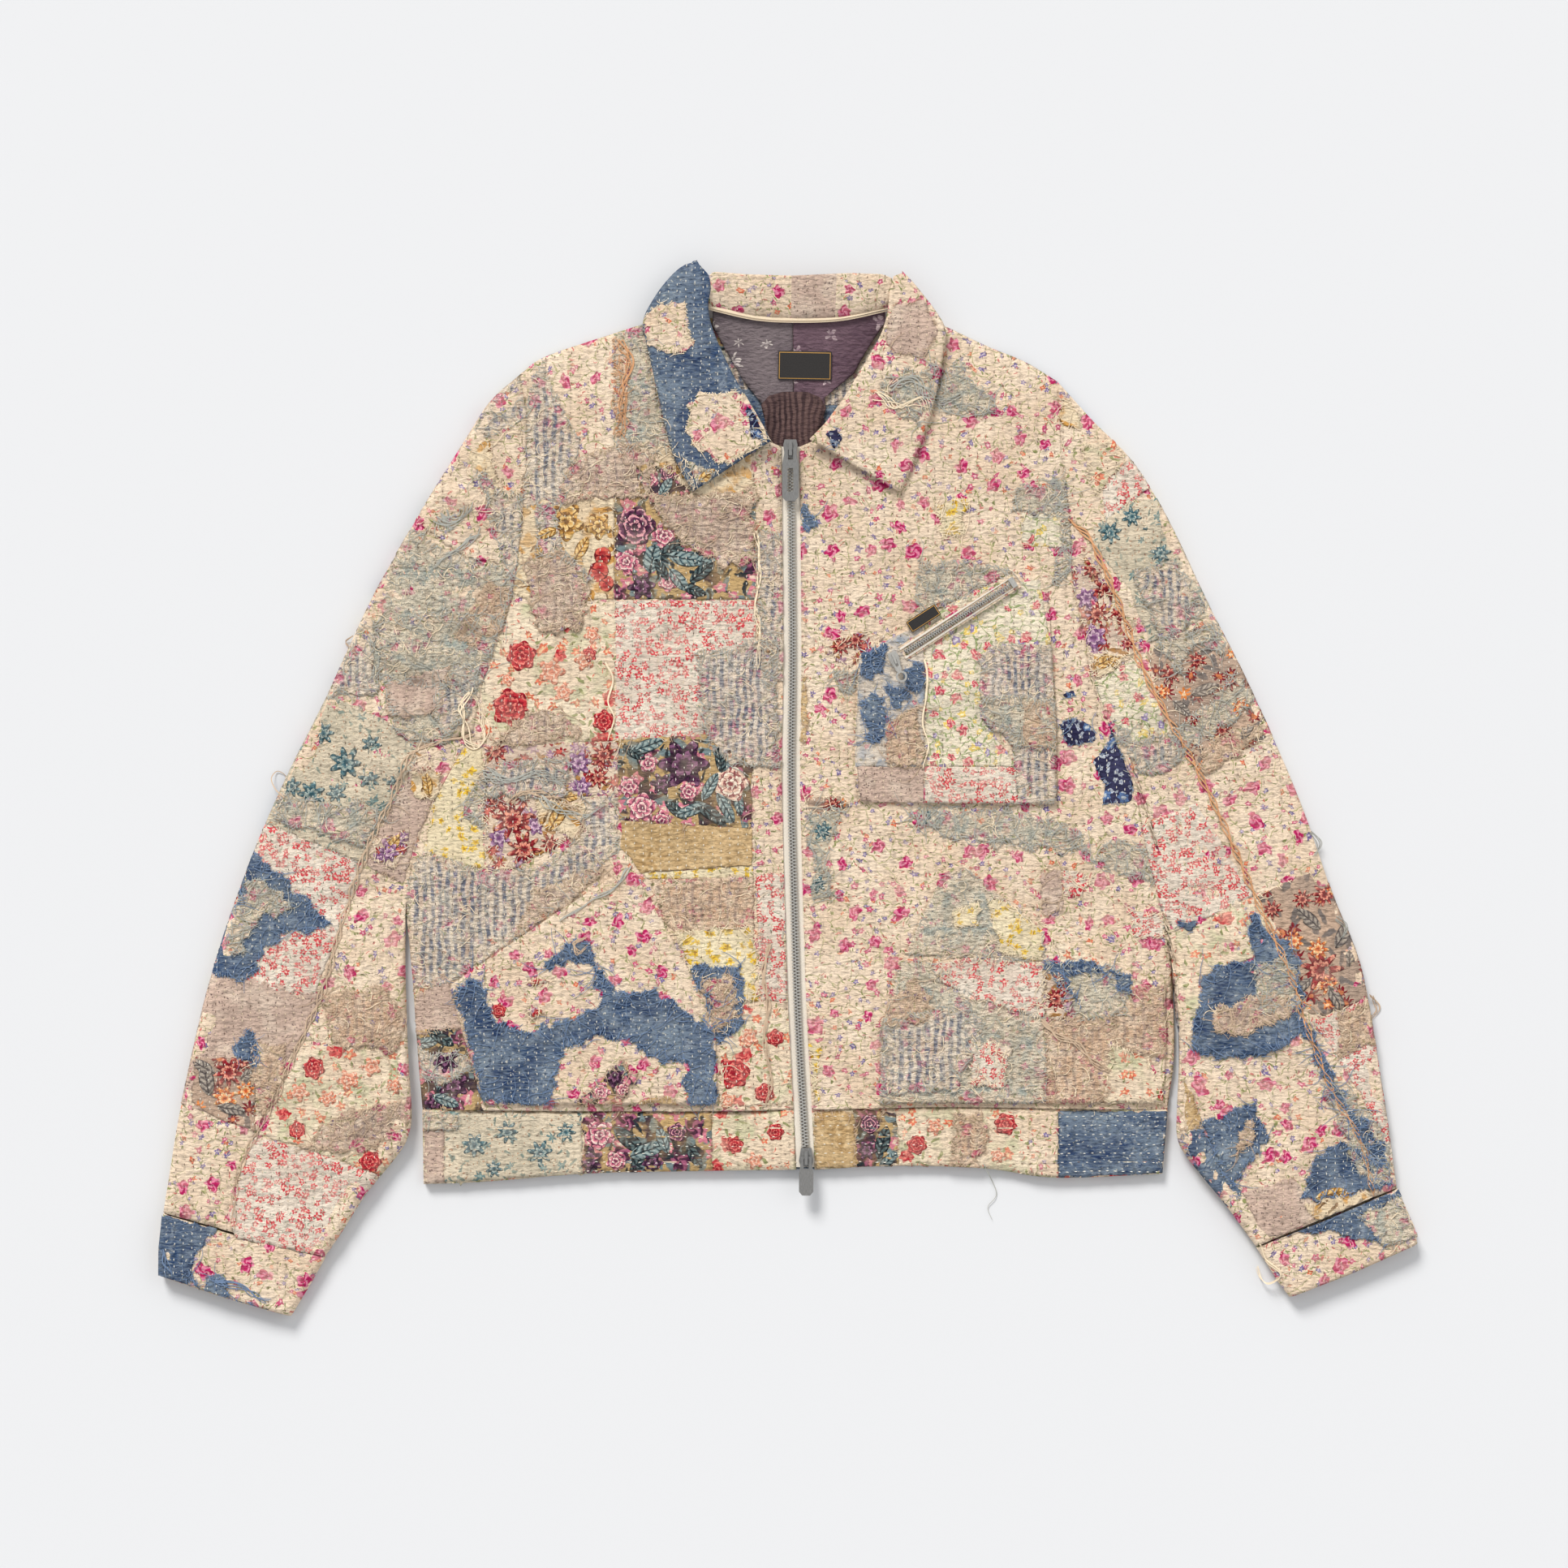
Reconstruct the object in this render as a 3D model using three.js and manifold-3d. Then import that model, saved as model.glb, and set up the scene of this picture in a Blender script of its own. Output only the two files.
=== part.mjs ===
// Patched cotton jacket with a fold-down collar, a two-way front zip, two slanted hand pockets
// and a zipped chest pocket, laid out on its back with both sleeves beside the body.
// Millimetres. X runs across the body towards the wearer's left, Y towards the collar, Z up.
// Right and left in the names are the wearer's own. The origin is under the middle of the cloth.
import * as THREE from 'three';
import { mergeVertices } from 'three/addons/utils/BufferGeometryUtils.js';
import Module from 'manifold-3d';

const wasm = await Module();
wasm.setup();

// Driving sizes
const CLOTH = 3;                        // layered, stitched cotton wall
const GAP = 0.3;                        // clearance between neighbouring pieces
const LOFT = 3.4;                       // air between the back and the front at most
const LOFT_REACH = 45;                  // distance from a closed edge over which the loft builds up
const SLEEVE_HEIGHT = 2 * CLOTH + LOFT;
const PATCH = 1.2;                      // a single applied patch
const CLEAR = 0.9;                      // room under what lies on a creased panel
const SLEEVE_CLEAR = 1.8;                // the same on a sleeve, whose folds turn more
const POCKET = 2;                       // patch pocket wall
const POCKET_PATCH_CLEAR = 0.6;
const ZIP_HALF_OPENING = 7;             // from the chain's middle to each front's edge
const TAPE_HALF_WIDTH = 11.5;
const CHAIN_HALF_WIDTH = 3;
const TAPE_LEVEL = 5.2;
const TAPE = 1.2;
const CHAIN_LEVEL = 6.7;
const CHAIN = 2.5;
const LINING = 1.5;

const COLORS = {
  shell: 0xd9c8b4, sleeve: 0xcfc0b0, cuff: 0xc9b9a8, hem: 0xc8ac8c, collar: 0xbfb4ac,
  pocket: 0xcbb9a6, patchBlue: 0x4f6d96, patchMustard: 0xc29a62, patchRose: 0xd88f8f,
  patchGrey: 0xa9aca0, lining: 0x6d6168, label: 0x151515, tape: 0xcfc8ba, metal: 0xa8a8aa,
};

const group = new THREE.Group();

function add(name, geometry, color, metalness = 0, roughness = 0.9) {
  const material = new THREE.MeshStandardMaterial({ color, metalness, roughness });
  const mesh = new THREE.Mesh(geometry, material);
  mesh.name = name;
  group.add(mesh);
  return mesh;
}

// Evenly spaced points along a smooth line through the given ones
function sample(points, intervals) {
  const path = new THREE.CatmullRomCurve3(
    points.map(([x, y]) => new THREE.Vector3(x, y, 0)), false, 'centripetal');
  return path.getSpacedPoints(intervals).map((p) => [p.x, p.y]);
}

const join = (first, second) => [...first, ...second.slice(1)];
const shiftX = (points, dx) => points.map(([x, y]) => [x + dx, y]);
const mix = (a, b, t) => a.map((value, k) => value + (b[k] - value) * t);
const ease = (t) => { const c = Math.min(Math.max(t, 0), 1); return c * c * (3 - 2 * c); };

// Distance from a point to a line of straight stretches
function distance(points, x, y) {
  let nearest = Infinity;
  for (let k = 1; k < points.length; k += 1) {
    const [ax, ay] = points[k - 1];
    const [bx, by] = points[k];
    const along = ((x - ax) * (bx - ax) + (y - ay) * (by - ay)) / ((bx - ax) ** 2 + (by - ay) ** 2);
    const t = Math.min(Math.max(along, 0), 1);
    nearest = Math.min(nearest, Math.hypot(x - ax - t * (bx - ax), y - ay - t * (by - ay)));
  }
  return nearest;
}

// Plan of a panel spread between four edges, as columns of [x, y]
function spread(left, right, bottom, top) {
  const nu = bottom.length - 1;
  const nv = left.length - 1;
  return bottom.map((low, i) => left.map((near, j) => {
    const u = i / nu;
    const v = j / nv;
    const sides = mix(near, right[j], u);
    const ends = mix(low, top[i], v);
    const corners = mix(mix(bottom[0], bottom[nu], u), mix(top[0], top[nu], u), v);
    return [0, 1].map((k) => sides[k] + ends[k] - corners[k]);
  }));
}

// Draws every edge of a plan in by the seam clearance
function drawIn(plan, amount = 0.6 * GAP) {
  const nu = plan.length - 1;
  const nv = plan[0].length - 1;
  const towards = (a, b) => mix(a, b, amount / Math.hypot(b[0] - a[0], b[1] - a[1]));
  return plan.map((column, i) => column.map((point, j) => {
    let moved = point;
    if (i === 0) moved = towards(moved, plan[1][j]);
    if (i === nu) moved = towards(moved, plan[nu - 1][j]);
    if (j === 0) moved = towards(moved, plan[i][1]);
    if (j === nv) moved = towards(moved, plan[i][nv - 1]);
    return moved;
  }));
}

// One closed body from two matching grids of points, the cloth's two faces. A closed one is a tube.
function shell(outer, inner, tube = false) {
  const nu = outer.length;
  const nv = outer[0].length;
  const columns = tube ? nu : nu - 1;
  const id = (face, i, j) => face * nu * nv + (i % nu) * nv + j;
  const index = [];
  const quad = (a, b, c, d) => index.push(a, b, c, a, c, d);
  for (let i = 0; i < columns; i += 1) {
    for (let j = 0; j < nv - 1; j += 1) {
      quad(id(0, i, j), id(0, i + 1, j), id(0, i + 1, j + 1), id(0, i, j + 1));
      quad(id(1, i, j), id(1, i, j + 1), id(1, i + 1, j + 1), id(1, i + 1, j));
    }
    quad(id(1, i, 0), id(1, i + 1, 0), id(0, i + 1, 0), id(0, i, 0));
    quad(id(0, i, nv - 1), id(0, i + 1, nv - 1), id(1, i + 1, nv - 1), id(1, i, nv - 1));
  }
  for (let j = 0; !tube && j < nv - 1; j += 1) {
    quad(id(0, 0, j), id(0, 0, j + 1), id(1, 0, j + 1), id(1, 0, j));
    quad(id(1, nu - 1, j), id(1, nu - 1, j + 1), id(0, nu - 1, j + 1), id(0, nu - 1, j));
  }
  const positions = [...outer.flat(), ...inner.flat()].flat();
  if (volume(positions, index) < 0) index.reverse();
  const geometry = new THREE.BufferGeometry();
  geometry.setAttribute('position', new THREE.Float32BufferAttribute(positions, 3));
  geometry.setIndex(index);
  return geometry;
}

function volume(positions, index) {
  const corner = (k) => new THREE.Vector3().fromArray(positions, 3 * index[k]);
  let sum = 0;
  for (let k = 0; k < index.length; k += 3) {
    sum += corner(k).dot(corner(k + 1).cross(corner(k + 2))) / 6;
  }
  return sum;
}

// A wall of even thickness lying over its plan
function lay(plan, underside, thickness) {
  const inner = plan.map((column) => column.map(([x, y]) => [x, y, underside(x, y)]));
  const outer = inner.map((column) => column.map(([x, y, z]) => [x, y, z + thickness]));
  return shell(outer, inner);
}

// ---- Outline of the garment, each line running as named
const RIGHT_SIDE = sample([[-280, -245], [-284, -197], [-288, -141], [-293, -90]], 3);
const RIGHT_ARM_LOW = sample([[-293, -90], [-290, -67], [-280, -29], [-255, 20], [-241, 42]], 3);
const RIGHT_ARM_HIGH = sample(
  [[-241, 42], [-235, 76], [-217, 129], [-208, 169], [-202, 231], [-200, 281], [-206, 317]], 5);
const RIGHT_SHOULDER = [[-206, 317], [-186, 331], [-133, 349], [-92, 362]];
const RIGHT_NECK = [[-92, 362], [-78, 330], [-60, 302], [-38, 277], [-6, 262]];
const LEFT_SIDE = sample([[290, -245], [295, -203], [294, -153], [291, -110]], 3);
const LEFT_ARM_LOW = sample([[291, -110], [275, -54], [268, -12], [256, 26], [242, 57], [232, 83],
  [226, 119], [218, 157], [215, 206]], 6);
const LEFT_ARM_HIGH = sample([[215, 206], [209, 256], [206, 312]], 2);
const LEFT_SHOULDER = [[206, 312], [181, 327], [150, 340], [104, 362]];
const LEFT_NECK = [[104, 362], [88, 330], [66, 302], [42, 277], [9, 262]];
const BACK_NECK = [[-92, 362], [-45, 360], [3, 357], [50, 358], [104, 362]];
const ZIP_LINE = [[11, -245], [7, -172], [4, -79], [2, 8], [3, 107], [2, 219], [1.5, 262]];
const HEM_SEAM = [[-280, -245], [-168, -246], [-44, -246], [8, -245], [111, -243], [204, -244],
  [290, -245]];
const HEM_EDGE = [[-279, -302], [-230, -300], [-156, -294], [-69, -292], [13, -291], [80, -288],
  [150, -290], [204, -297], [286, -294]];

// ---- Creases: soft ridges (up) and troughs (down) pressed into the upper faces
const CREASES = [
  [[-215, 250], [-150, 120], 26, 1.6], [[-262, -20], [-170, -45], 22, 1.4],
  [[-90, 90], [-60, -90], 24, -1.2], [[-205, -110], [-120, -215], 24, 1.2],
  [[205, 215], [120, 190], 24, 1.4], [[228, 60], [150, -50], 26, 1.5],
  [[60, -60], [110, -120], 24, -1.2], [[200, -175], [260, -225], 20, 1.8],
  [[-330, 120], [-250, 60], 20, 1.8], [[-400, -60], [-330, -20], 22, 1.6],
  [[-440, -170], [-370, -130], 22, -1.4], [[-440, -280], [-330, -240], 22, 1.6],
  [[260, 120], [330, 60], 20, 1.8], [[300, -40], [390, -20], 22, 1.6],
  [[330, -180], [420, -150], 22, -1.4], [[340, -270], [430, -250], 22, 1.6],
];

function crease(x, y) {
  return CREASES.reduce((sum, [from, to, width, height]) =>
    sum + height * Math.exp(-((distance([from, to], x, y) / width) ** 2)), 0);
}

const CLOSED_EDGES = [RIGHT_SIDE, LEFT_SIDE, RIGHT_SHOULDER, LEFT_SHOULDER];

function loft(x, y) {
  const nearest = Math.min(...CLOSED_EDGES.map((edge) => distance(edge, x, y)));
  const inner = ease(nearest / LOFT_REACH);
  const fromZip = ease((Math.abs(x) - 20) / 30);
  return inner * (LOFT + fromZip * crease(x, y));
}

const frontUnder = (x, y) => CLOTH + GAP + Math.max(loft(x, y), 0);
const frontTop = (x, y) => frontUnder(x, y) + CLOTH;

// ---- Back, fronts and hem band
const rightEdge = join(join(RIGHT_SIDE, RIGHT_ARM_LOW), RIGHT_ARM_HIGH);
const leftEdge = join(join(LEFT_SIDE, LEFT_ARM_LOW), LEFT_ARM_HIGH);
const rows = rightEdge.length - 1;
const flat = () => 0;

const backTop = join(join(RIGHT_SHOULDER, BACK_NECK), [...LEFT_SHOULDER].reverse());
add('back', lay(drawIn(spread(rightEdge, leftEdge, sample(HEM_SEAM, 14), sample(backTop, 14))),
  flat, CLOTH), COLORS.shell);

const zipRight = shiftX(sample(ZIP_LINE, rows), -ZIP_HALF_OPENING);
const zipLeft = shiftX(sample(ZIP_LINE, rows), ZIP_HALF_OPENING);
const shoulderIntervals = 4;
const neckIntervals = 5;
const frontIntervals = shoulderIntervals + neckIntervals;
const hemRight = sample([HEM_SEAM[0], HEM_SEAM[1], HEM_SEAM[2], zipRight[0]], frontIntervals);
const hemLeft = sample([zipLeft[0], HEM_SEAM[4], HEM_SEAM[5], HEM_SEAM[6]], frontIntervals);
const topRight = join(sample(RIGHT_SHOULDER, shoulderIntervals),
  sample([...RIGHT_NECK.slice(0, -1), zipRight[rows]], neckIntervals));
const topLeft = join(sample(LEFT_SHOULDER, shoulderIntervals),
  sample([...LEFT_NECK.slice(0, -1), zipLeft[rows]], neckIntervals)).reverse();

add('front_right', lay(drawIn(spread(rightEdge, zipRight, hemRight, topRight)),
  frontUnder, CLOTH), COLORS.shell);
add('front_left', lay(drawIn(spread(zipLeft, leftEdge, hemLeft, topLeft)),
  frontUnder, CLOTH), COLORS.shell);

function hemBand(name, seam, edge, underside) {
  const side = (from, to) => sample([from, to], 2);
  const last = seam.length - 1;
  const plan = spread(side(edge[0], seam[0]), side(edge[last], seam[last]), edge, seam);
  add(name, lay(drawIn(plan), underside, CLOTH), COLORS.hem);
}

const hemEdgeRight = sample([...HEM_EDGE.slice(0, 4), [6, -291.5]], frontIntervals);
const hemEdgeLeft = sample([[20, -291], ...HEM_EDGE.slice(5)], frontIntervals);
hemBand('hem_back', sample(HEM_SEAM, 14), sample(HEM_EDGE, 14), flat);
hemBand('hem_front_right', hemRight, hemEdgeRight, frontUnder);
hemBand('hem_front_left', hemLeft, hemEdgeLeft, frontUnder);

// ---- Folded pieces: a wall that runs from one open edge over the fold and back underneath.
// `fold` and `open` are matching lines, height(x, y) is the top of the fold, base its underside
// and underReach how much of the width the lower layer covers.
function folded(fold, open, { base, height, wall, underReach = 1, blunt = () => false }) {
  const legs = [1, 0.75, 0.5, 0.25, 0];
  const bends = [60, 25, -25, -60];
  const rings = fold.map((edge, j) => {
    const width = Math.hypot(open[j][0] - edge[0], open[j][1] - edge[1]) - 0.6 * GAP;
    const tall = height(...edge) - base(...edge);
    const radius = tall / 2;
    const bend = Math.min(radius, 0.4 * width);
    const place = (d, z) => {
      const [x, y] = mix(edge, open[j], (d + 0.6 * GAP) / (width + 0.6 * GAP));
      return [x, y, z];
    };
    const leg = (reach, level, sign) => {
      const along = bend + (width - bend) * reach;
      const [x, y] = place(along, 0);
      const top = sign > 0 ? height(x, y) : base(x, y);
      return { outer: place(along, top), inner: place(along, top - sign * wall), top, level };
    };
    const turn = (angle) => {
      const c = Math.cos(THREE.MathUtils.degToRad(angle));
      const s = Math.sin(THREE.MathUtils.degToRad(angle));
      const middle = base(...edge) + radius;
      const out = blunt(j) ? 0 : bend * (1 - c);
      const inset = Math.min(wall, bend * 0.8) + out * 0.4;
      return { outer: place(out, middle + radius * s), inner: place(inset, middle + (radius - wall) * s) };
    };
    return [...legs.map((reach) => leg(reach, 0, 1)), ...bends.map(turn),
      ...[...legs].reverse().map((reach) => leg(reach * underReach, 0, -1))];
  });
  const columns = rings[0].map((_, i) => rings.map((ring) => ring[i]));
  return shell(columns.map((column) => column.map((p) => p.outer)),
    columns.map((column) => column.map((p) => p.inner)));
}

// ---- Sleeves: an upper and an under piece meeting along a seam on both faces
const sleeveHeight = (tip) => (x, y) => {
  const fromTip = Math.hypot(x - tip[0], y - tip[1]);
  const rise = ease(fromTip / 70);
  return 2 * CLOTH + GAP + rise * Math.max(LOFT - GAP + crease(x, y), 0);
};

function sleeve(side, { armHigh, armLow, outerLine, innerLine, seamLine, tip, seamIntervals }) {
  const highIntervals = armHigh.length - 1;
  const lowIntervals = armLow.length - 1;
  const seam = sample(seamLine, seamIntervals);
  const outer = sample(outerLine, highIntervals + seamIntervals);
  const inner = join(armLow, sample(innerLine, seamIntervals - lowIntervals));
  const height = sleeveHeight(tip);
  const section = { base: flat, height, wall: CLOTH };
  const armAndSeam = join(armHigh, seam);
  armAndSeam[0] = mix(armHigh[0], armHigh[1], 0.25);
  outer[0] = mix(outer[0], outer[1], 0.25);
  add(`sleeve_${side}_upper`, folded(outer, armAndSeam, section), COLORS.sleeve);
  const seamStart = mix(seam[0], seam[1], 0.3);
  const armStart = mix(inner[0], inner[1], 0.3);
  add(`sleeve_${side}_under`, folded([armStart, ...inner.slice(1)], [seamStart, ...seam.slice(1)],
    { ...section, blunt: (j) => j <= lowIntervals }), COLORS.sleeve);
}

sleeve('right', {
  tip: [-206, 317], seamIntervals: 10,
  armHigh: [...RIGHT_ARM_HIGH].reverse(), armLow: [...RIGHT_ARM_LOW].reverse(),
  outerLine: [[-206, 317], [-228, 297], [-245, 271], [-283, 209], [-319, 145], [-354, 69],
    [-385, 7], [-413, -59], [-440, -138], [-463, -234], [-478, -323]],
  innerLine: [[-293, -90], [-293, -141], [-291, -197], [-288, -246], [-291, -266], [-299, -280],
    [-323, -310], [-343, -341], [-354, -357]],
  seamLine: [[-241, 42], [-285, 29], [-301, -3], [-321, -44], [-341, -102], [-354, -150],
    [-376, -201], [-392, -237], [-406, -263], [-421, -298], [-424, -338]],
});
sleeve('left', {
  tip: [206, 312], seamIntervals: 12,
  armHigh: [...LEFT_ARM_HIGH].reverse(), armLow: [...LEFT_ARM_LOW].reverse(),
  outerLine: [[206, 312], [233, 282], [263, 251], [289, 209], [319, 146], [351, 82], [388, -1],
    [416, -80], [438, -137], [454, -228], [465, -304]],
  innerLine: [[291, -110], [298, -153], [299, -203], [297, -246], [297, -266], [303, -279],
    [317, -297], [335, -319], [357, -349]],
  seamLine: [[215, 206], [232, 188], [255, 134], [275, 82], [315, 9], [340, -45], [362, -95],
    [384, -144], [393, -175], [414, -228], [436, -268], [447, -311]],
});

// ---- Cuffs: flat tubes, each between its two folded edges
function cuff(name, edgeA, edgeB, intervals) {
  const a = sample(edgeA, intervals);
  const b = sample(edgeB, intervals);
  a[0] = mix(a[0], a[1], 0.03);
  b[0] = mix(b[0], b[1], 0.03);
  const radius = SLEEVE_HEIGHT / 2;
  const angles = [90, 50, 0, -50, -90];
  const ring = (reach) => a.map((start, j) => {
    const width = Math.hypot(b[j][0] - start[0], b[j][1] - start[1]);
    const along = (d, z) => [...mix(start, b[j], d / width), z];
    const arc = (angle, far) => {
      const rad = THREE.MathUtils.degToRad(angle);
      const d = radius - reach * Math.cos(rad);
      return along(far ? width - d : d, radius + reach * Math.sin(rad));
    };
    const top = [0.33, 0.66].map((t) => along(radius + (width - 2 * radius) * t, radius + reach));
    const low = [0.66, 0.33].map((t) => along(radius + (width - 2 * radius) * t, radius - reach));
    return [...[...angles].reverse().map((angle) => arc(angle, false)), ...top,
      ...angles.map((angle) => arc(angle, true)), ...low];
  });
  const columns = (reach) => {
    const rings = ring(reach);
    return rings[0].map((_, i) => rings.map((points) => points[i]));
  };
  add(name, shell(columns(radius), columns(radius - CLOTH), true), COLORS.cuff);
}

cuff('cuff_right', [[-478, -324], [-480.8, -350], [-481, -371]], [[-354, -358], [-364, -376], [-380, -402.5]], 3);
cuff('cuff_left', [[357.5, -350], [374, -376], [383, -388]], [[465.5, -305], [479, -335], [481, -347]], 3);

// ---- Collar: two leaves folded down over the fronts and the stretch behind the neck
const COLLAR_WALL = 2.6;
const COLLAR_BASE = CLOTH + GAP + LOFT + CLOTH + CLEAR;
const COLLAR_HEIGHT = 2 * COLLAR_WALL + 1;

function collarLeaf(name, fold, tipLine) {
  const intervals = 8;
  const roll = sample(fold, intervals);
  const leafTop = (x, y) => {
    const fromRoll = distance(roll, x, y);
    const settle = ease((fromRoll - 22) / 35);
    const high = COLLAR_BASE + COLLAR_HEIGHT;
    const low = frontTop(x, y) + CLEAR + COLLAR_WALL;
    return high + (low - high) * settle;
  };
  add(name, folded(roll, sample(tipLine, intervals),
    { base: () => COLLAR_BASE, height: leafTop, wall: COLLAR_WALL, underReach: 0.3 }), COLORS.collar);
}

collarLeaf('collar_right', [[-13, 266], [-28, 292], [-44, 320], [-57, 349], [-62, 368], [-60, 386]],
  [[-73, 227], [-88, 255], [-99, 299], [-108, 339], [-111, 357], [-93, 377], [-72, 402.5]]);
collarLeaf('collar_left', [[16, 267], [28, 280], [43, 300], [55, 320], [69, 344], [76, 362], [82, 388]],
  [[86, 226], [104, 271], [112, 299], [118, 330], [120, 354], [106, 372], [90, 391]]);

const collarTopEdge = sample([[-57, 392], [-32, 390], [2, 389], [47, 391], [76, 390]], 8);
const collarNeckEdge = sample([[-57, 368], [-26, 361], [3, 359], [39, 360], [70, 366]], 8);
add('collar_back', folded(collarTopEdge, collarNeckEdge,
  { base: () => CLOTH + GAP, height: () => CLOTH + GAP + COLLAR_HEIGHT, wall: COLLAR_WALL }),
COLORS.collar);

// ---- Inside of the back neck, seen through the opening
const liningUnder = () => CLOTH + GAP;
const liningLeftLine = sample([[-18, 300], [-34, 312], [-48, 336], [-58, 357]], 4);
const liningMiddle = sample([[4, 300], [3, 356]], 4);
const liningRightLine = sample([[26, 300], [50, 318], [60, 336], [70, 357]], 4);
const across = (from, to, n) => sample([from, to], n);
const liningPlan = (left, right) => drawIn(spread(left, right,
  across(left[0], right[0], 3), across(left[4], right[4], 3)));
add('lining_right', lay(liningPlan(liningLeftLine, liningMiddle), liningUnder, LINING), COLORS.lining);
add('lining_left', lay(liningPlan(liningMiddle, liningRightLine), liningUnder, LINING), COLORS.lining);
const ribLeft = across([-10, 270], [-20, 299.5], 2);
const ribRight = across([16, 270], [28, 299.5], 2);
add('lining_rib', lay(spread(ribLeft, ribRight, across(ribLeft[0], ribRight[0], 2),
  across(ribLeft[2], ribRight[2], 2)), liningUnder, LINING), COLORS.lining);

function plate(width, length, thickness, [x, y, z], turn = 0) {
  const geometry = new THREE.BoxGeometry(width, length, thickness);
  geometry.translate(0, 0, thickness / 2);
  geometry.rotateZ(THREE.MathUtils.degToRad(turn));
  geometry.translate(x, y, z);
  return geometry;
}

add('neck_label', plate(41, 22, 0.8, [12.5, 324, CLOTH + GAP + LINING + GAP]), COLORS.label);

// ---- Pockets
const pocketUnder = (x, y) => frontUnder(x, y) + CLOTH + CLEAR;

function pocket(name, left, right, bottom, top) {
  const plan = spread(sample(left, 5), sample(right, 5), sample(bottom, 7), sample(top, 7));
  add(name, lay(plan, pocketUnder, POCKET), COLORS.pocket);
}

pocket('pocket_right', [[-233, -241], [-246, -196], [-259, -150]],
  [[-54, -241], [-56, -184], [-94, -104], [-120, -62]],
  [[-233, -241], [-54, -241]], [[-259, -150], [-190, -103], [-126, -61], [-120, -62]]);
pocket('pocket_left', [[69, -240], [72, -180], [84, -137], [122, -57]],
  [[286, -240], [289, -190], [288, -148]],
  [[69, -240], [286, -240]], [[122, -57], [134, -58], [200, -112], [262, -140], [288, -148]]);
pocket('chest_pocket', [[54, -10], [50, 18], [51, 58], [54, 103]],
  [[205, -12], [204, 58], [199, 142], [193, 162]],
  [[54, -10], [205, -12]], [[54, 103], [120, 140], [171, 165], [193, 162]]);

// ---- Applied patches, each a thin wall over the panel it is sewn to
function patch(name, corners, color, under) {
  const [a, b, c, d] = corners;
  const plan = spread(across(a, d, 4), across(b, c, 4), across(a, b, 4), across(d, c, 4));
  add(`patch_${name}`, lay(plan, under, PATCH), color);
}

const onFront = (x, y) => frontTop(x, y) + CLEAR;
const onPocket = (x, y) => pocketUnder(x, y) + POCKET + POCKET_PATCH_CLEAR;
const onSleeve = (tip) => (x, y) => sleeveHeight(tip)(x, y) + SLEEVE_CLEAR;
const onRightSleeve = onSleeve([-206, 317]);
const onLeftSleeve = onSleeve([206, 312]);
patch('bouquet_high', [[-133, 145], [-28, 145], [-28, 212], [-133, 214]], COLORS.patchMustard, onFront);
patch('bouquet_low', [[-130, -52], [-32, -58], [-30, 42], [-131, 42]], COLORS.patchMustard, onFront);
patch('gold_leaf', [[-194, 145], [-136, 145], [-136, 222], [-190, 222]], COLORS.patchMustard, onFront);
patch('chintz', [[-228, 40], [-136, 38], [-136, 142], [-204, 142]], COLORS.patchRose, onFront);
patch('flap', [[172, 212], [204, 216], [203, 238], [170, 240]], COLORS.patchGrey, onFront);
patch('pocket_indigo', [[-230, -215], [-170, -200], [-175, -158], [-238, -160]], COLORS.patchBlue, onPocket);
patch('pocket_taupe', [[196, -232], [250, -232], [252, -176], [198, -172]], COLORS.patchGrey, onPocket);
patch('sleeve_grey', [[-315, 52], [-252, 48], [-234, 120], [-298, 150]], COLORS.patchGrey, onRightSleeve);
patch('sleeve_rose', [[-284, 160], [-226, 158], [-218, 238], [-262, 224]], COLORS.patchRose, onRightSleeve);
patch('sleeve_folk', [[290, 36], [356, 30], [330, 100], [282, 112]], COLORS.patchMustard, onLeftSleeve);
patch('sleeve_indigo', [[312, -190], [386, -178], [384, -128], [320, -140]], COLORS.patchBlue, onLeftSleeve);
patch('sleeve_blossom', [[282, -110], [352, -84], [334, -2], [282, -10]], COLORS.patchRose, onLeftSleeve);

// ---- Front zip
function ribbon(name, line, fromX, toX, level, thickness, color, metalness) {
  const plan = spread(shiftX(line, fromX), shiftX(line, toX),
    across([line[0][0] + fromX, line[0][1]], [line[0][0] + toX, line[0][1]], 1),
    across([line.at(-1)[0] + fromX, line.at(-1)[1]], [line.at(-1)[0] + toX, line.at(-1)[1]], 1));
  add(name, lay(plan, () => level, thickness), color, metalness, metalness ? 0.4 : 0.9);
}

const TOP_SLIDER = [1.5, 260];
const BOTTOM_SLIDER = [13.5, -281];
const SLIDER_HALF_LENGTH = 7;
const tapeLine = sample([[13.5, -289], ...ZIP_LINE], 16);
const chainLine = sample([[13.2, BOTTOM_SLIDER[1] + SLIDER_HALF_LENGTH + 0.5], ...ZIP_LINE.slice(0, -1),
  [1.5, TOP_SLIDER[1] - SLIDER_HALF_LENGTH - 0.5]], 16);
ribbon('zip_tape_right', tapeLine, -TAPE_HALF_WIDTH, -GAP / 2, TAPE_LEVEL, TAPE, COLORS.tape, 0);
ribbon('zip_tape_left', tapeLine, GAP / 2, TAPE_HALF_WIDTH, TAPE_LEVEL, TAPE, COLORS.tape, 0);
ribbon('zip_chain', chainLine, -CHAIN_HALF_WIDTH, CHAIN_HALF_WIDTH, CHAIN_LEVEL, CHAIN, COLORS.metal, 1);

// ---- Sliders and their pulls
function toSolid(geometry) {
  const bare = geometry.index ? geometry.toNonIndexed() : geometry.clone();
  bare.deleteAttribute('normal');
  bare.deleteAttribute('uv');
  const merged = mergeVertices(bare, 1e-4);
  return new wasm.Manifold(new wasm.Mesh({
    numProp: 3, vertProperties: merged.attributes.position.array, triVerts: merged.index.array,
  }));
}

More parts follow.
